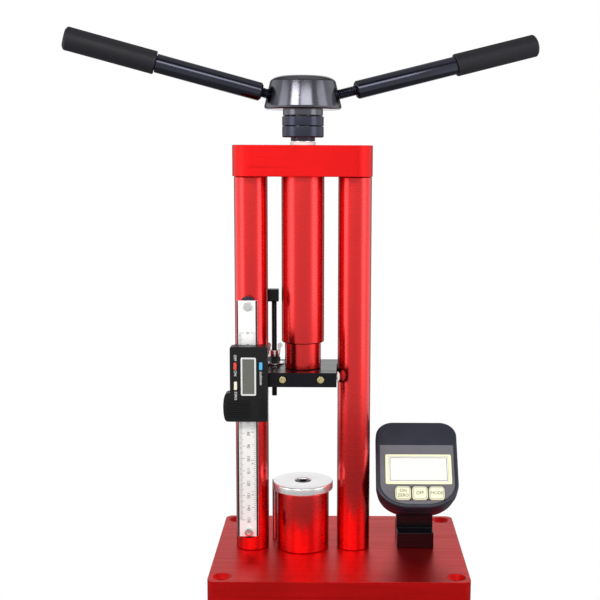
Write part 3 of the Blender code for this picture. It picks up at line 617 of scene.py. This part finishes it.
def hub():
    low, high = span("hub")
    under, top = low.z + 4.8, high.z
    cone = (25.6, top - 4.5)
    crown = []
    for step in range(1, 15):
        t = step / 14
        crown.append((cone[0] - 9.6 * (1 - cos(t * pi / 2)) ** 0.8,
                      cone[1] + (top - cone[1]) * sin(t * pi / 2)))
    seat = top - 10.0
    bm = turned([(SCREW_RUN_R, low.z), (15.0, low.z), (15.6, low.z + 0.6), (15.6, under),
                 (28.3, under), (29.6, under + 0.8), (30.1, under + 2.4), cone,
                 *crown, (8.0, top), (8.0, seat), (3.4, seat), (3.4, seat - 4.3),
                 (SCREW_RUN_R, seat - 4.3)], 160, 0.25)
    sockets = [along_handle(drill(STUD_R + GAP, 13.5, 45, 64), turn)
               for turn in (HANDLE_TURN, HANDLE_TURN + pi)]
    piece("hub_body", cut(bm, *sockets), "black_gloss", "hub", bevel=0.15)
    bolt = moved(socket_screw(7.4, 8.9, 3.1, 22), 0, 0, top - 0.7)
    piece("hub_cap_screw", bolt, "dark_steel", "hub_bolt")


def along_handle(bm, turn):
    """Lay a mesh made along +Z on a handle's axis, in millimetres."""
    bm = rotated(rotated(z_to_x(bm), -HANDLE_LIFT, 'Y'), turn, 'Z')
    return moved(bm, 0, 0, HANDLE_ROOT_Z)


def knurled_grip(start, end, bore, deep):
    """Sleeve with a fine diamond knurl, plain rounded ends and a blind bore."""
    around, pitch = 176, 1.25
    rows = int((end - start) / (pitch / 4))
    bm = bmesh.new()
    rings = [ringed(bm, [bore] * around, deep), ringed(bm, [bore] * around, start)]
    for row in range(rows + 1):
        z = start + (end - start) * row / rows
        fade = max(0.0, min(1.0, (z - start - 1.4) / 1.0, (end - 3.6 - z) / 1.0))
        shrink = 0.9 * max(0.0, 1 - (z - start) / 0.9) ** 2
        shrink += 2.6 * max(0.0, 1 - (end - z) / 2.6) ** 2.2
        radii = []
        for k in range(around):
            u, v = k / around * 44, (z - start) / pitch
            diamond = abs(((u + v) % 1) - 0.5) + abs(((u - v) % 1) - 0.5)
            radii.append(GRIP_R - 0.02 - shrink - 0.16 * fade * diamond)
        rings.append(ringed(bm, radii, z))
    return skinned(bm, rings)


def handle(side, turn):
    start = HANDLE_START[side]
    end = start + HANDLE_LENGTH
    joint = start + BAR_LENGTH
    deep = end - 9.4
    place = (Matrix.Translation((0, 0, HANDLE_ROOT_Z * MM)) @ Matrix.Rotation(turn, 4, 'Z')
             @ Matrix.Rotation(-HANDLE_LIFT, 4, 'Y'))
    bar = turned([(0, start), (BAR_R - 1.5, start), (BAR_R, start + 1.5), (BAR_R, joint),
                  (5.5, joint), (5.5, deep - 0.6), (0, deep - 0.6)], 96, 0.4)
    piece("bar_" + side, z_to_x(bar), "black_bar", "handle_bar_" + side, place=place)
    stud = threaded(STUD_R, 0.55, 1.25, 14.2, start + 3)
    piece("stud_" + side, z_to_x(stud), "black_anodised", place=place, body="spindle",
          slot="black_anodised")
    grip = knurled_grip(joint + GAP, end, 5.8, deep)
    piece("grip_sleeve_" + side, z_to_x(grip), "black_grip", "grip_" + side, place=place)


# ---------------------------------------------------------------- carriage

def ram():
    low, high = span("ram")
    foot_top = span("press_foot")[1].z
    bottom = foot_top + 0.1
    bm = turned([(0, low.z), (5.7, low.z), (5.7, bottom), (RAM_R - 0.5, bottom),
                 (RAM_R, bottom + 0.5), (RAM_R, high.z - 0.5), (RAM_R - 0.5, high.z),
                 (11.6, high.z), (11.6, high.z - 20), (8.5, high.z - 20),
                 (8.5, bottom + 12), (0, bottom + 12)], FINE)
    piece("ram_body", bm, "red_round", "ram")


def press_foot():
    low, high = span("press_foot")
    half, step_y = FOOT_HALF_X, FOOT_STEP_Y
    outline = [(-half, low.y), (half, low.y), (half, step_y), (high.x, step_y),
               (high.x, high.y), (low.x, high.y), (low.x, step_y), (-half, step_y)]
    holes = [drill(6.0, low.z + 3, high.z + 1),
             moved(drill(STOP_BORE_R, low.z - 1, high.z + 1), *STOP_XY)]
    piece("foot", cut(slab(outline, low.z, high.z), *holes), "black_block", "press_foot",
          bevel=0.4)


def scale_arm():
    low, high = span("scale_arm")
    centre, seat = middle("press_foot").z, low.y + 4.6
    hole = [(0, -high.y - 1), (2.0, -high.y - 1), (2.0, -seat), (3.1, -seat),
            (3.1, -low.y + 1), (0, -low.y + 1)]
    xs = {side: middle("arm_screw_" + side).x for side in ("left", "right")}
    holes = [moved(z_to_front(turned(hole, 48, 0)), x, 0, centre) for x in xs.values()]
    piece("arm", cut(block(low, high), *holes), "black_block", "scale_arm", bevel=0.35)
    for side, x in xs.items():
        screw = z_to_front(socket_screw(2.8, 4.0, 1.6, 16, 40))
        piece("arm_cap_screw_" + side, moved(screw, x, low.y + 0.2, centre), "zinc_yellow",
              "arm_screw_" + side)


def guide_buttons():
    """Domed buttons at the ends of the foot, which run on the columns."""
    face = FOOT_HALF_X + GAP
    dome = [(BUTTON_R * cos(t * pi / 24), face + 0.4 + 1.9 * sin(t * pi / 24))
            for t in range(12)]
    profile = [(0, face - 6), (2.0, face - 6), (2.0, face), (BUTTON_R, face), *dome,
               (0, face + 2.3)]
    for side, turn in (("left", pi), ("right", 0)):
        place = middle("guide_button_" + side)
        bm = rotated(z_to_x(turned(profile, 64, 0.1)), turn, 'Z')
        piece("button_" + side, moved(bm, 0, place.y, place.z), "white_plastic",
              "guide_button_" + side)


# ---------------------------------------------------------------- depth stop

def depth_stop():
    low, high = span("stop_washer")
    piece("washer", moved(tube(8.0, STOP_BORE_R, low.z, high.z, 0.2), *STOP_XY), "bright_steel",
          "stop_washer")
    low, high = span("stop_lock_nut")
    hexagon = [(4.9 * cos(k * pi / 3), 4.9 * sin(k * pi / 3)) for k in range(6)]
    cone = turned([(0, low.z), (4.35, low.z), (5.1, low.z + 0.7), (5.1, high.z - 0.7),
                   (4.35, high.z), (0, high.z)], 64, 0)
    nut = combined(slab(hexagon, low.z, high.z), [cone], 'INTERSECT')
    nut = cut(nut, drill(STOP_BORE_R, low.z - 1, high.z + 1))
    piece("lock_nut", moved(nut, *STOP_XY), "dark_steel", "stop_lock_nut", bevel=0.12)
    wing_nut()
    low, high = span("stop_rod")
    rod_mesh = threaded(STOP_R, 0.3, 0.9, low.z, high.z, 32, 6)
    piece("stop_thread", moved(rod_mesh, *STOP_XY), "dark_steel", "stop_rod")
    low, high = span("stop_rod_head")
    head = cut(block(low, high), moved(drill(STOP_BORE_R, low.z - 1, low.z + 6.3), *STOP_XY))
    piece("stop_head", head, "black_block", "stop_rod_head", bevel=0.5)


def wing_nut():
    low = span("wing_nut")[0].z
    collar = tube(4.4, STOP_BORE_R, low, low + 5.5, 0.5, 64)
    ears = []
    for side in (-1, 1):
        tip = [(4.6 + 2.1 * cos(t * pi / 16), low + 9.2 + 2.1 * sin(t * pi / 16))
               for t in range(-6, 16)]
        outline = [(3.2, low + 0.8), (4.6, low + 1.4), *tip, (3.2, low + 5.4)]
        ears.append(front_slab([(side * x, z) for x, z in outline], -1.1, 1.1))
    bm = cut(fused(collar, *ears), drill(STOP_BORE_R, low - 1, low + 12))
    piece("wing", moved(bm, *STOP_XY), "bright_steel", "wing_nut", bevel=0.35)


# ---------------------------------------------------------------- height scale

def scale_beam():
    low, high = span("scale_beam")
    front = [(low.x + BEAM_EDGE, low.y), (high.x - BEAM_EDGE, low.y),
             (high.x, low.y + BEAM_EDGE), (high.x, high.y), (low.x, high.y),
             (low.x, low.y + BEAM_EDGE)]
    bm = slab(front, low.z, high.z)
    screws = {end: middle("scale_screw_" + end) for end in ("bottom", "top")}
    holes = [moved(z_to_front(drill(2.1, 10, 40)), s.x, 0, s.z) for s in screws.values()]
    beam = piece("beam", cut(bm, *holes), "satin_steel", "scale_beam", bevel=0.12)
    # The slanted chamfer faces along the beam's front take the dark steel look: painted shade
    # on the same steel as the rest of the beam.
    beam.data.materials.append(LOOKS["dark_steel"])
    for face in beam.data.polygons:
        shaded_chamfer = abs(face.normal.x) > 0.3 and face.normal.y < -0.3
        if shaded_chamfer:
            face.material_index = 1
    for end, place in screws.items():
        bm = moved(z_to_front(tube(7.0, 2.1, 13.6, -high.y - GAP, 0.4, 64)), place.x, 0,
                   place.z)
        piece("spacer_" + end, bm, "black_anodised", "scale_spacer_" + end)
        screw = z_to_front(socket_screw(3.4, 2.2, 1.7, 18.5, 48))
        bm = moved(screw, place.x, low.y - 2.5, place.z)
        piece("beam_screw_" + end, bm, "bright_steel", "scale_screw_" + end)
    scale_marks(low, high)


def scale_marks(low, high):
    """Millimetre marks down the left, inch marks down the right, and their numbers."""
    face = low.y - SKIN
    left, right = low.x + BEAM_EDGE + 0.3, high.x - BEAM_EDGE - 0.3
    marks = []

    def tick(x0, x1, z, half):
        marks.append(block((x0, face, z - half), (x1, low.y + SKIN, z + half)))

    for mm in range(151):
        length = 4.2 if mm % 10 == 0 else 3.2 if mm % 5 == 0 else 2.2
        tick(left, left + length, SCALE_ZERO_Z - mm, 0.13)
    for sixteenth in range(6 * 16 - 1):
        length = (3.6 if sixteenth % 16 == 0 else 2.9 if sixteenth % 8 == 0 else
                  2.2 if sixteenth % 4 == 0 else 1.4)
        tick(right - length, right, SCALE_ZERO_Z - sixteenth * INCH / 16, 0.13)
    for ten in range(0, 151, 10):
        place = facing_front(left + 6.9, face, SCALE_ZERO_Z - ten, pi / 2)
        marks.append(lettering(str(ten), 3.3, place))
    for inch in range(1, 6):
        place = facing_front(right - 2.6, face, SCALE_ZERO_Z - inch * INCH - 2.4, pi / 2)
        marks.append(lettering(str(inch), 2.6, place))
    piece("beam_marks", joined(*marks), "grey_ink", body="root", slot="dark_steel")


def slider_outline(steps=28):
    """The case's (x, z) outline, with the swelling low on its left."""
    low, high = span("slider_housing")
    x0, x1, z0, z1 = SLIDER_LEFT, high.x, low.z, high.z
    swell_top = z0 + SWELL_H
    points = []
    for x, z, quarter in ((x1, z1, 0), (x0, z1, 1)):
        side = 1 if quarter == 0 else -1
        for step in range(7):
            angle = (quarter + step / 6) * pi / 2
            points.append((x - side * 1.5 + 1.5 * cos(angle), z - 1.5 + 1.5 * sin(angle)))
    for step in range(steps + 1):
        angle = pi * step / steps
        points.append((x0 - SWELL_REACH * sin(angle) ** 0.45,
                       (z0 + swell_top) / 2 + (swell_top - z0) / 2 * cos(angle)))
    for step in range(7):
        angle = (3 + step / 6) * pi / 2
        points.append((x1 - 1.5 + 1.5 * cos(angle), z0 + 1.5 + 1.5 * sin(angle)))
    return points


def slider_window():
    """The slider screen's (x0, x1, z0, z1), inside its bezel."""
    low, high = span("slider_lcd_frame")
    return (low.x + SLIDER_RIM, high.x - SLIDER_RIM, low.z + SLIDER_RIM, high.z - SLIDER_RIM)


def slider_case():
    low, high = span("slider_housing")
    inner = SLIDER_FRONT + SLIDER_WALL
    cavity = block((SLIDER_LEFT + SLIDER_WALL, inner, low.z + SLIDER_WALL),
                   (high.x - SLIDER_WALL, high.y + 1, high.z - SLIDER_WALL))
    holes = []
    for key in SLIDER_KEYS:
        a, b = span("slider_key_" + key)
        holes.append(front_hole((a.x, b.x, a.z, b.z), 0.2, SLIDER_FRONT - 1, inner + 1))
    holes.append(front_hole(slider_window(), 0, SLIDER_FRONT - 1, inner + 1))
    bm = front_slab(slider_outline(), SLIDER_FRONT, high.y)
    piece("slider_case", cut(bm, cavity, *holes), "charcoal_plastic", "slider_housing",
          bevel=0.8)


def slider_screen():
    low, high = span("slider_lcd_frame")
    face = SLIDER_FRONT - SKIN
    bezel = front_slab(rounded((low.x, high.x), (low.z, high.z), 1.2, 6), low.y, face)
    bezel = cut(bezel, front_hole(slider_window(), 0, face - 3, face + 3))
    piece("slider_bezel", bezel, "bright_aluminium", "slider_lcd_frame", bevel=0.22)
    pane = front_hole(slider_window(), -SKIN, face - 0.25, face + 2)
    piece("slider_pane", pane, "slider_glass", "slider_lcd_board", bevel=0.1)


def slider_keys():
    looks = {"zero": "key_red", "power": "key_cream", "units": "key_blue"}
    for key in SLIDER_KEYS:
        a, b = span("slider_key_" + key)
        bm = front_slab(rounded((a.x, b.x), (a.z, b.z), 0.5, 4), a.y, b.y)
        piece("key_" + key, bm, looks[key], "slider_key_" + key, bevel=0.25)


def slider_carrier():
    a, b = span("slider_frame")
    beam_low, beam_high = span("scale_beam")
    slot = block((beam_low.x - 0.3, beam_low.y - 0.3, a.z - 1),
                 (beam_high.x + 0.3, beam_high.y + 0.3, b.z + 1))
    piece("slider_carrier", cut(block(a, b), slot), "dark_steel", "slider_frame", bevel=0.3)


def ridge_rows(x0, x1, z0, z1, count, back, proud):
    """Level rounded ridges side by side, clear of each other."""
    rows = []
    pitch = (z1 - z0) / count
    for k in range(count):
        z = z0 + (k + 0.5) * pitch
        ridge = rounded((x0, x1), (z - 0.27 * pitch, z + 0.27 * pitch), 0.22 * pitch, 5)
        rows.append(front_slab(ridge, back - proud, back + 0.25))
    return rows


def slider_ridges():
    """Ridges on the battery cover, and the thumb's ridges at the right."""
    right = span("slider_housing")[1].x
    a, b = span("slider_battery_cover")
    plate = front_slab(rounded((a.x, b.x), (a.z, b.z), 1.0, 5), SLIDER_FRONT - 0.4,
                       SLIDER_FRONT - 0.02)
    rows = ridge_rows(a.x + 0.4, b.x - 0.4, a.z + 0.2, b.z - 0.2, 8, SLIDER_FRONT - 0.5, 1.0)
    piece("battery_door", joined(plate, *rows), "charcoal_plastic", "slider_battery_cover")
    rows = ridge_rows(right - 6.2, right - 0.9, a.z, b.z + 0.6, 9, SLIDER_FRONT, 1.0)
    piece("thumb_ridges", joined(*rows), "charcoal_plastic", body="carriage",
          slot="charcoal_plastic")


def slider_labels():
    """Plain key names beside the slider's keys, reading downwards."""
    face = SLIDER_FRONT - SKIN
    red, cream, blue = (middle("slider_key_" + key) for key in SLIDER_KEYS)
    words = (("OFF", red.x, red.z + 6.4, 2.8), ("ON", red.x, red.z - 5.6, 2.8),
             ("ZERO", cream.x, cream.z - 7.9, 2.6), ("inch/mm", blue.x, blue.z - 9.6, 3.0))
    text = [lettering(word, size, facing_front(x, face, z, pi / 2), 0.04)
            for word, x, z, size in words]
    piece("slider_text", joined(*text), "white_ink", body="carriage", slot="white_plastic")


# ---------------------------------------------------------------- load display

DISPLAY_PLACE = (Matrix.Translation(Vector(DISPLAY_AT) * MM)
                 @ Matrix.Rotation(-DISPLAY_TILT, 4, 'X'))


def case_outline(inset=0.0, steps=20):
    """The case's (x, z) outline: round shoulders at the top and a deep curve at the bottom."""
    half, top = CASE_HALF_X - inset, CASE_H - inset
    shoulder, chin = (14.0 - inset, 12.0 - inset), (26.0 - inset, 20.0 - inset)
    corners = ((1, 1, shoulder), (-1, 1, shoulder), (-1, -1, chin), (1, -1, chin))
    points = []
    for quarter, (side_x, side_z, (radius_x, radius_z)) in enumerate(corners):
        middle_x = side_x * (half - radius_x)
        middle_z = top - radius_z if side_z > 0 else inset + radius_z
        for step in range(steps + 1):
            angle = (quarter + step / steps) * pi / 2
            points.append((middle_x + radius_x * cos(angle), middle_z + radius_z * sin(angle)))
    return points


def panel_outline(inset):
    low = [(x, z) for x, z in case_outline(inset) if z < CASE_H / 2]
    half = CASE_HALF_X - inset
    return [(half, PANEL_TOP), (-half, PANEL_TOP), *low]


def key_span(index):
    centre = KEY_MIDDLE_X + (index - 1) * KEY_PITCH
    return (centre - KEY_W / 2, centre + KEY_W / 2, *KEY_Z)


def display_case():
    near = CASE_SPLIT + 0.25
    sections = [(near, case_outline(0.3)), (near + 0.4, case_outline()),
                (CASE_D - 6, case_outline(1.4)), (CASE_D - 1.8, case_outline(2.4)),
                (CASE_D - 0.5, case_outline(3.2)), (CASE_D, case_outline(4.0))]
    cavity = lofted([(near - 1, case_outline(CASE_WALL)),
                     (CASE_D - 2, case_outline(CASE_WALL + CASE_TAPER))])
    opening = front_hole(BATTERY_SPAN, 0.4, CASE_D - 4, CASE_D + 2)
    ledge = front_hole(BATTERY_SPAN, 2.0, CASE_D - 1.2, CASE_D + 2)
    piece("case_back", cut(lofted(sections), cavity, opening, ledge), "slate_plastic",
          "display_back_shell", place=DISPLAY_PLACE)
    sections = [(0.02, case_outline(1.6)), (0.15, case_outline(0.9)),
                (0.7, case_outline(0.25)), (1.6, case_outline()),
                (CASE_SPLIT - 0.4, case_outline()), (CASE_SPLIT, case_outline(0.3))]
    cavity = lofted([(2.2, case_outline(CASE_WALL + 0.8)),
                     (CASE_SPLIT + 1, case_outline(CASE_WALL))])
    recess = front_slab(panel_outline(PANEL_INSET - 0.15), -1, 0.8)
    window = front_hole((*WINDOW_X, *WINDOW_Z), GAP, -1, 3)
    keys = [front_hole(key_span(k), GAP, -1, 6) for k in range(3)]
    piece("case_front", cut(lofted(sections), cavity, recess, window, *keys),
          "slate_plastic", "display_front_shell", place=DISPLAY_PLACE)
    x0, x1, z0, z1 = BATTERY_SPAN
    cover = front_slab(rounded((x0 - 1.8, x1 + 1.8), (z0 - 1.8, z1 + 1.8), 1.0, 5),
                       CASE_D - 0.9, CASE_D)
    piece("battery_lid", cover, "slate_plastic", "display_battery_cover", bevel=0.25,
          place=DISPLAY_PLACE)


def display_face():
    panel = front_slab(panel_outline(PANEL_INSET), 0.3, 0.75)
    openings = [front_hole(key_span(k), 0.15, -1, 3) for k in range(3)]
    openings.append(front_hole((*WINDOW_X, *WINDOW_Z), 0.1, -1, 3))
    piece("face_panel", cut(panel, *openings), "panel_grey", "display_panel",
          place=DISPLAY_PLACE)
    outer = rounded((WINDOW_X[0] - 2.7, WINDOW_X[1] + 2.7), (WINDOW_Z[0] - 2.0,
                    WINDOW_Z[1] + 1.8), 1.2, 5)
    border = cut(front_slab(outer, -0.5, 0.28), front_hole((*WINDOW_X, *WINDOW_Z), 0.1, -2, 2))
    piece("window_border", border, "border_yellow", body="root", slot="pale_yellow",
          bevel=0.15, place=DISPLAY_PLACE)
    pane = block((WINDOW_X[0], -0.35, WINDOW_Z[0]), (WINDOW_X[1], 2.0, WINDOW_Z[1]))
    piece("window_pane", pane, "display_glass", "display_lcd", bevel=0.15,
          place=DISPLAY_PLACE)
    line_outer = (WINDOW_X[0] + 0.9, WINDOW_X[1] - 0.9, WINDOW_Z[0] + 0.9, WINDOW_Z[1] - 0.9)
    line = cut(front_hole(line_outer, 0, -0.4, -0.3), front_hole(line_outer, -0.35, -2, 2))
    piece("window_line", line, "olive_ink", body="root", slot="pale_yellow",
          place=DISPLAY_PLACE)


def display_keys():
    words = {"left": ("ON", "ZERO"), "middle": ("OFF",), "right": ("MODE",)}
    for index, (name, lines) in enumerate(words.items()):
        x0, x1, z0, z1 = key_span(index)
        body = "display_key_" + name
        outline = rounded((x0, x1), (z0, z1), 2.6, 8)
        piece("key_" + name, front_slab(outline, -1.4, 3.7), "pale_yellow", body, bevel=0.5,
              place=DISPLAY_PLACE)
        centre_x, centre_z = (x0 + x1) / 2, (z0 + z1) / 2
        text = []
        for row, word in enumerate(lines):
            z = centre_z + (len(lines) - 1) * 2.0 - row * 4.0
            text.append(lettering(word, 3.5, facing_front(centre_x, -1.42, z), 0.05))
        rim = rounded((x0 + 0.75, x1 - 0.75), (z0 + 0.75, z1 - 0.75), 2.0, 8)
        inner = rounded((x0 + 1.0, x1 - 1.0), (z0 + 1.0, z1 - 1.0), 1.8, 8)
        text.append(cut(front_slab(rim, -1.45, -1.35), front_slab(inner, -2, 0)))
        piece("key_text_" + name, joined(*text), "olive_ink", body=body, slot="pale_yellow",
              place=DISPLAY_PLACE)


def display_bracket():
    """Foot block with an upright whose sloping end meets the case."""
    depth = CASE_D + 0.35
    back_y = DISPLAY_AT[1] + depth * cos(DISPLAY_TILT)
    back_z = DISPLAY_AT[2] - depth * sin(DISPLAY_TILT)
    low, high = span("display_bracket")
    step, bottom = BASE_T + BRACKET_FOOT_H, BASE_T + SKIN

    def slope(y):
        return back_z + (y - back_y) / tan(DISPLAY_TILT)

    y0, y1 = UPRIGHT_Y
    side = [(low.y, bottom), (high.y, bottom), (high.y, step), (y1, step), (y1, slope(y1)),
            (y0, slope(y0)), (y0, step), (low.y, step)]
    bm = slab(side, low.x, high.x)
    matrix = Matrix(((0, 0, 1), (1, 0, 0), (0, 1, 0)))
    bmesh.ops.transform(bm, verts=bm.verts, matrix=matrix.to_4x4())
    bmesh.ops.recalc_face_normals(bm, faces=bm.faces)
    piece("bracket", bm, "black_block", "display_bracket", bevel=0.5)


# ---------------------------------------------------------------- kept CAD nodes

def finish_cad_nodes():
    looks = {"lead_screw": "bright_steel", "thrust_bearing": "bright_steel",
             "ram_nut": "bronze", "load_cell": "bright_steel", "display_board": "board_green",
             "display_battery": "dark_steel"}
    for node, look in looks.items():
        obj = frame["nodes"][node]
        obj.data.materials.clear()
        obj.data.materials.append(LOOKS[look])


# ---------------------------------------------------------------- studio

def lamp(name, place, aim, size, power, colour=(1, 1, 1)):
    data = bpy.data.lights.new(name, 'AREA')
    data.shape = 'RECTANGLE'
    data.size, data.size_y = size
    data.energy = power
    data.color = colour
    obj = bpy.data.objects.new(name, data)
    bpy.context.scene.collection.objects.link(obj)
    obj.location = place
    obj.rotation_euler = (Vector(aim) - Vector(place)).to_track_quat('-Z', 'Y').to_euler()


def camera_mix(tree, plain, seen):
    """Shader that looks like the second to the camera and like the first to all else."""
    path = tree.nodes.new("ShaderNodeLightPath")
    mix = tree.nodes.new("ShaderNodeMixShader")
    tree.links.new(path.outputs["Is Camera Ray"], mix.inputs["Fac"])
    tree.links.new(plain, mix.inputs[1])
    tree.links.new(seen, mix.inputs[2])
    return mix.outputs["Shader"]


def studio():
    bm = bmesh.new()
    bmesh.ops.create_circle(bm, cap_ends=True, segments=96, radius=0.5)
    floor = stored("floor", bm)
    made, tree, shader = blank("floor", (0.3, 0.3, 0.3), 0.0, 0.7)
    seen = tree.nodes.new("ShaderNodeEmission")
    mixed = camera_mix(tree, shader.outputs["BSDF"], seen.outputs["Emission"])
    tree.links.new(mixed, tree.nodes["Material Output"].inputs["Surface"])
    floor.data.materials.append(made)
    floor.location = (0.02, 0, -0.0005)
    lamp("front_soft", (-0.55, -1.27, 1.0), (0, 0, 0.37), (0.56, 0.42), 8.5, (1, 0.97, 0.93))
    lamp("front_fill", (0.3, -1.36, 1.0), (0, 0, 0.37), (0.85, 0.42), 6.0)
    lamp("left", (-1.3, -0.7, 0.5), (0, 0, 0.2), (0.7, 1.3), 4.6)
    lamp("right", (1.3, -0.6, 0.5), (0, 0, 0.2), (0.7, 1.3), 4.6)
    lamp("overhead", (0, 0.1, 1.6), (0, 0, 0), (1.6, 1.6), 4)
    surroundings()


def surroundings():
    """Bright flanks round a dim camera side and a bright backdrop, dimmer overhead."""
    world = bpy.data.worlds.new("studio")
    bpy.context.scene.world = world
    world.use_nodes = True
    tree = world.node_tree
    coords = tree.nodes.new("ShaderNodeTexCoord")
    apart = tree.nodes.new("ShaderNodeSeparateXYZ")
    tree.links.new(coords.outputs["Generated"], apart.inputs["Vector"])
    flat = tree.nodes.new("ShaderNodeCombineXYZ")
    tree.links.new(apart.outputs["X"], flat.inputs["X"])
    tree.links.new(apart.outputs["Y"], flat.inputs["Y"])
    unit = tree.nodes.new("ShaderNodeVectorMath")
    unit.operation = 'NORMALIZE'
    tree.links.new(flat.outputs["Vector"], unit.inputs[0])
    toward = tree.nodes.new("ShaderNodeVectorMath")
    toward.operation = 'DOT_PRODUCT'
    toward.inputs[1].default_value = (0, -1, 0)
    tree.links.new(unit.outputs["Vector"], toward.inputs[0])
    ramp = tree.nodes.new("ShaderNodeValToRGB")
    stops = ((0.0, 0.9), (0.012, 0.9), (0.03, 0.12), (0.09, 0.12), (0.16, 0.8), (0.3, 1.1),
             (0.75, 1.0), (0.9, 0.75), (1.0, 0.7))
    while len(ramp.color_ramp.elements) < len(stops):
        ramp.color_ramp.elements.new(0.5)
    for element, (position, level) in zip(ramp.color_ramp.elements, stops):
        element.position = position
        element.color = (level, level, level, 1)
    tree.links.new(ranged(tree, toward.outputs["Value"], (-1, 1, 0, 1)), ramp.inputs["Fac"])
    back = tree.nodes["Background"]
    tree.links.new(ramp.outputs["Color"], back.inputs["Color"])
    tree.links.new(ranged(tree, apart.outputs["Z"], (0.3, 0.75, 1.15, 0.25)),
                   back.inputs["Strength"])
    seen = tree.nodes.new("ShaderNodeBackground")
    seen.inputs["Color"].default_value = (1, 1, 1, 1)
    mixed = camera_mix(tree, back.outputs["Background"], seen.outputs["Background"])
    tree.links.new(mixed, tree.nodes["World Output"].inputs["Surface"])


def camera():
    data = bpy.data.cameras.new("camera")
    data.lens = 66.3
    data.sensor_width = 36.0
    data.shift_x = -0.0667
    data.clip_start = 0.02
    obj = bpy.data.objects.new("camera", data)
    bpy.context.scene.collection.objects.link(obj)
    obj.location = Vector((27.89, -868.8, 316.65 + BASE_T)) * MM
    pitch, yaw, roll = radians(7.514), radians(0.099), radians(0.258)
    turn = (Matrix.Rotation(-yaw, 4, 'Z') @ Matrix.Rotation(pi / 2 - pitch, 4, 'X')
            @ Matrix.Rotation(roll, 4, 'Z'))
    obj.rotation_euler = turn.to_euler()
    bpy.context.scene.camera = obj


# ---------------------------------------------------------------- assembly

camera()
studio()
base_plate()
columns()
top_plate()
guides()
load_cup()
load_platform()
stop_post()
collars()
hub()
handle("right", HANDLE_TURN)
handle("left", HANDLE_TURN + pi)
ram()
press_foot()
scale_arm()
guide_buttons()
depth_stop()
scale_beam()
slider_case()
slider_screen()
slider_keys()
slider_ridges()
slider_labels()
slider_carrier()
display_case()
display_face()
display_keys()
display_bracket()
finish_cad_nodes()
bpy.context.scene.view_settings.view_transform = 'Standard'
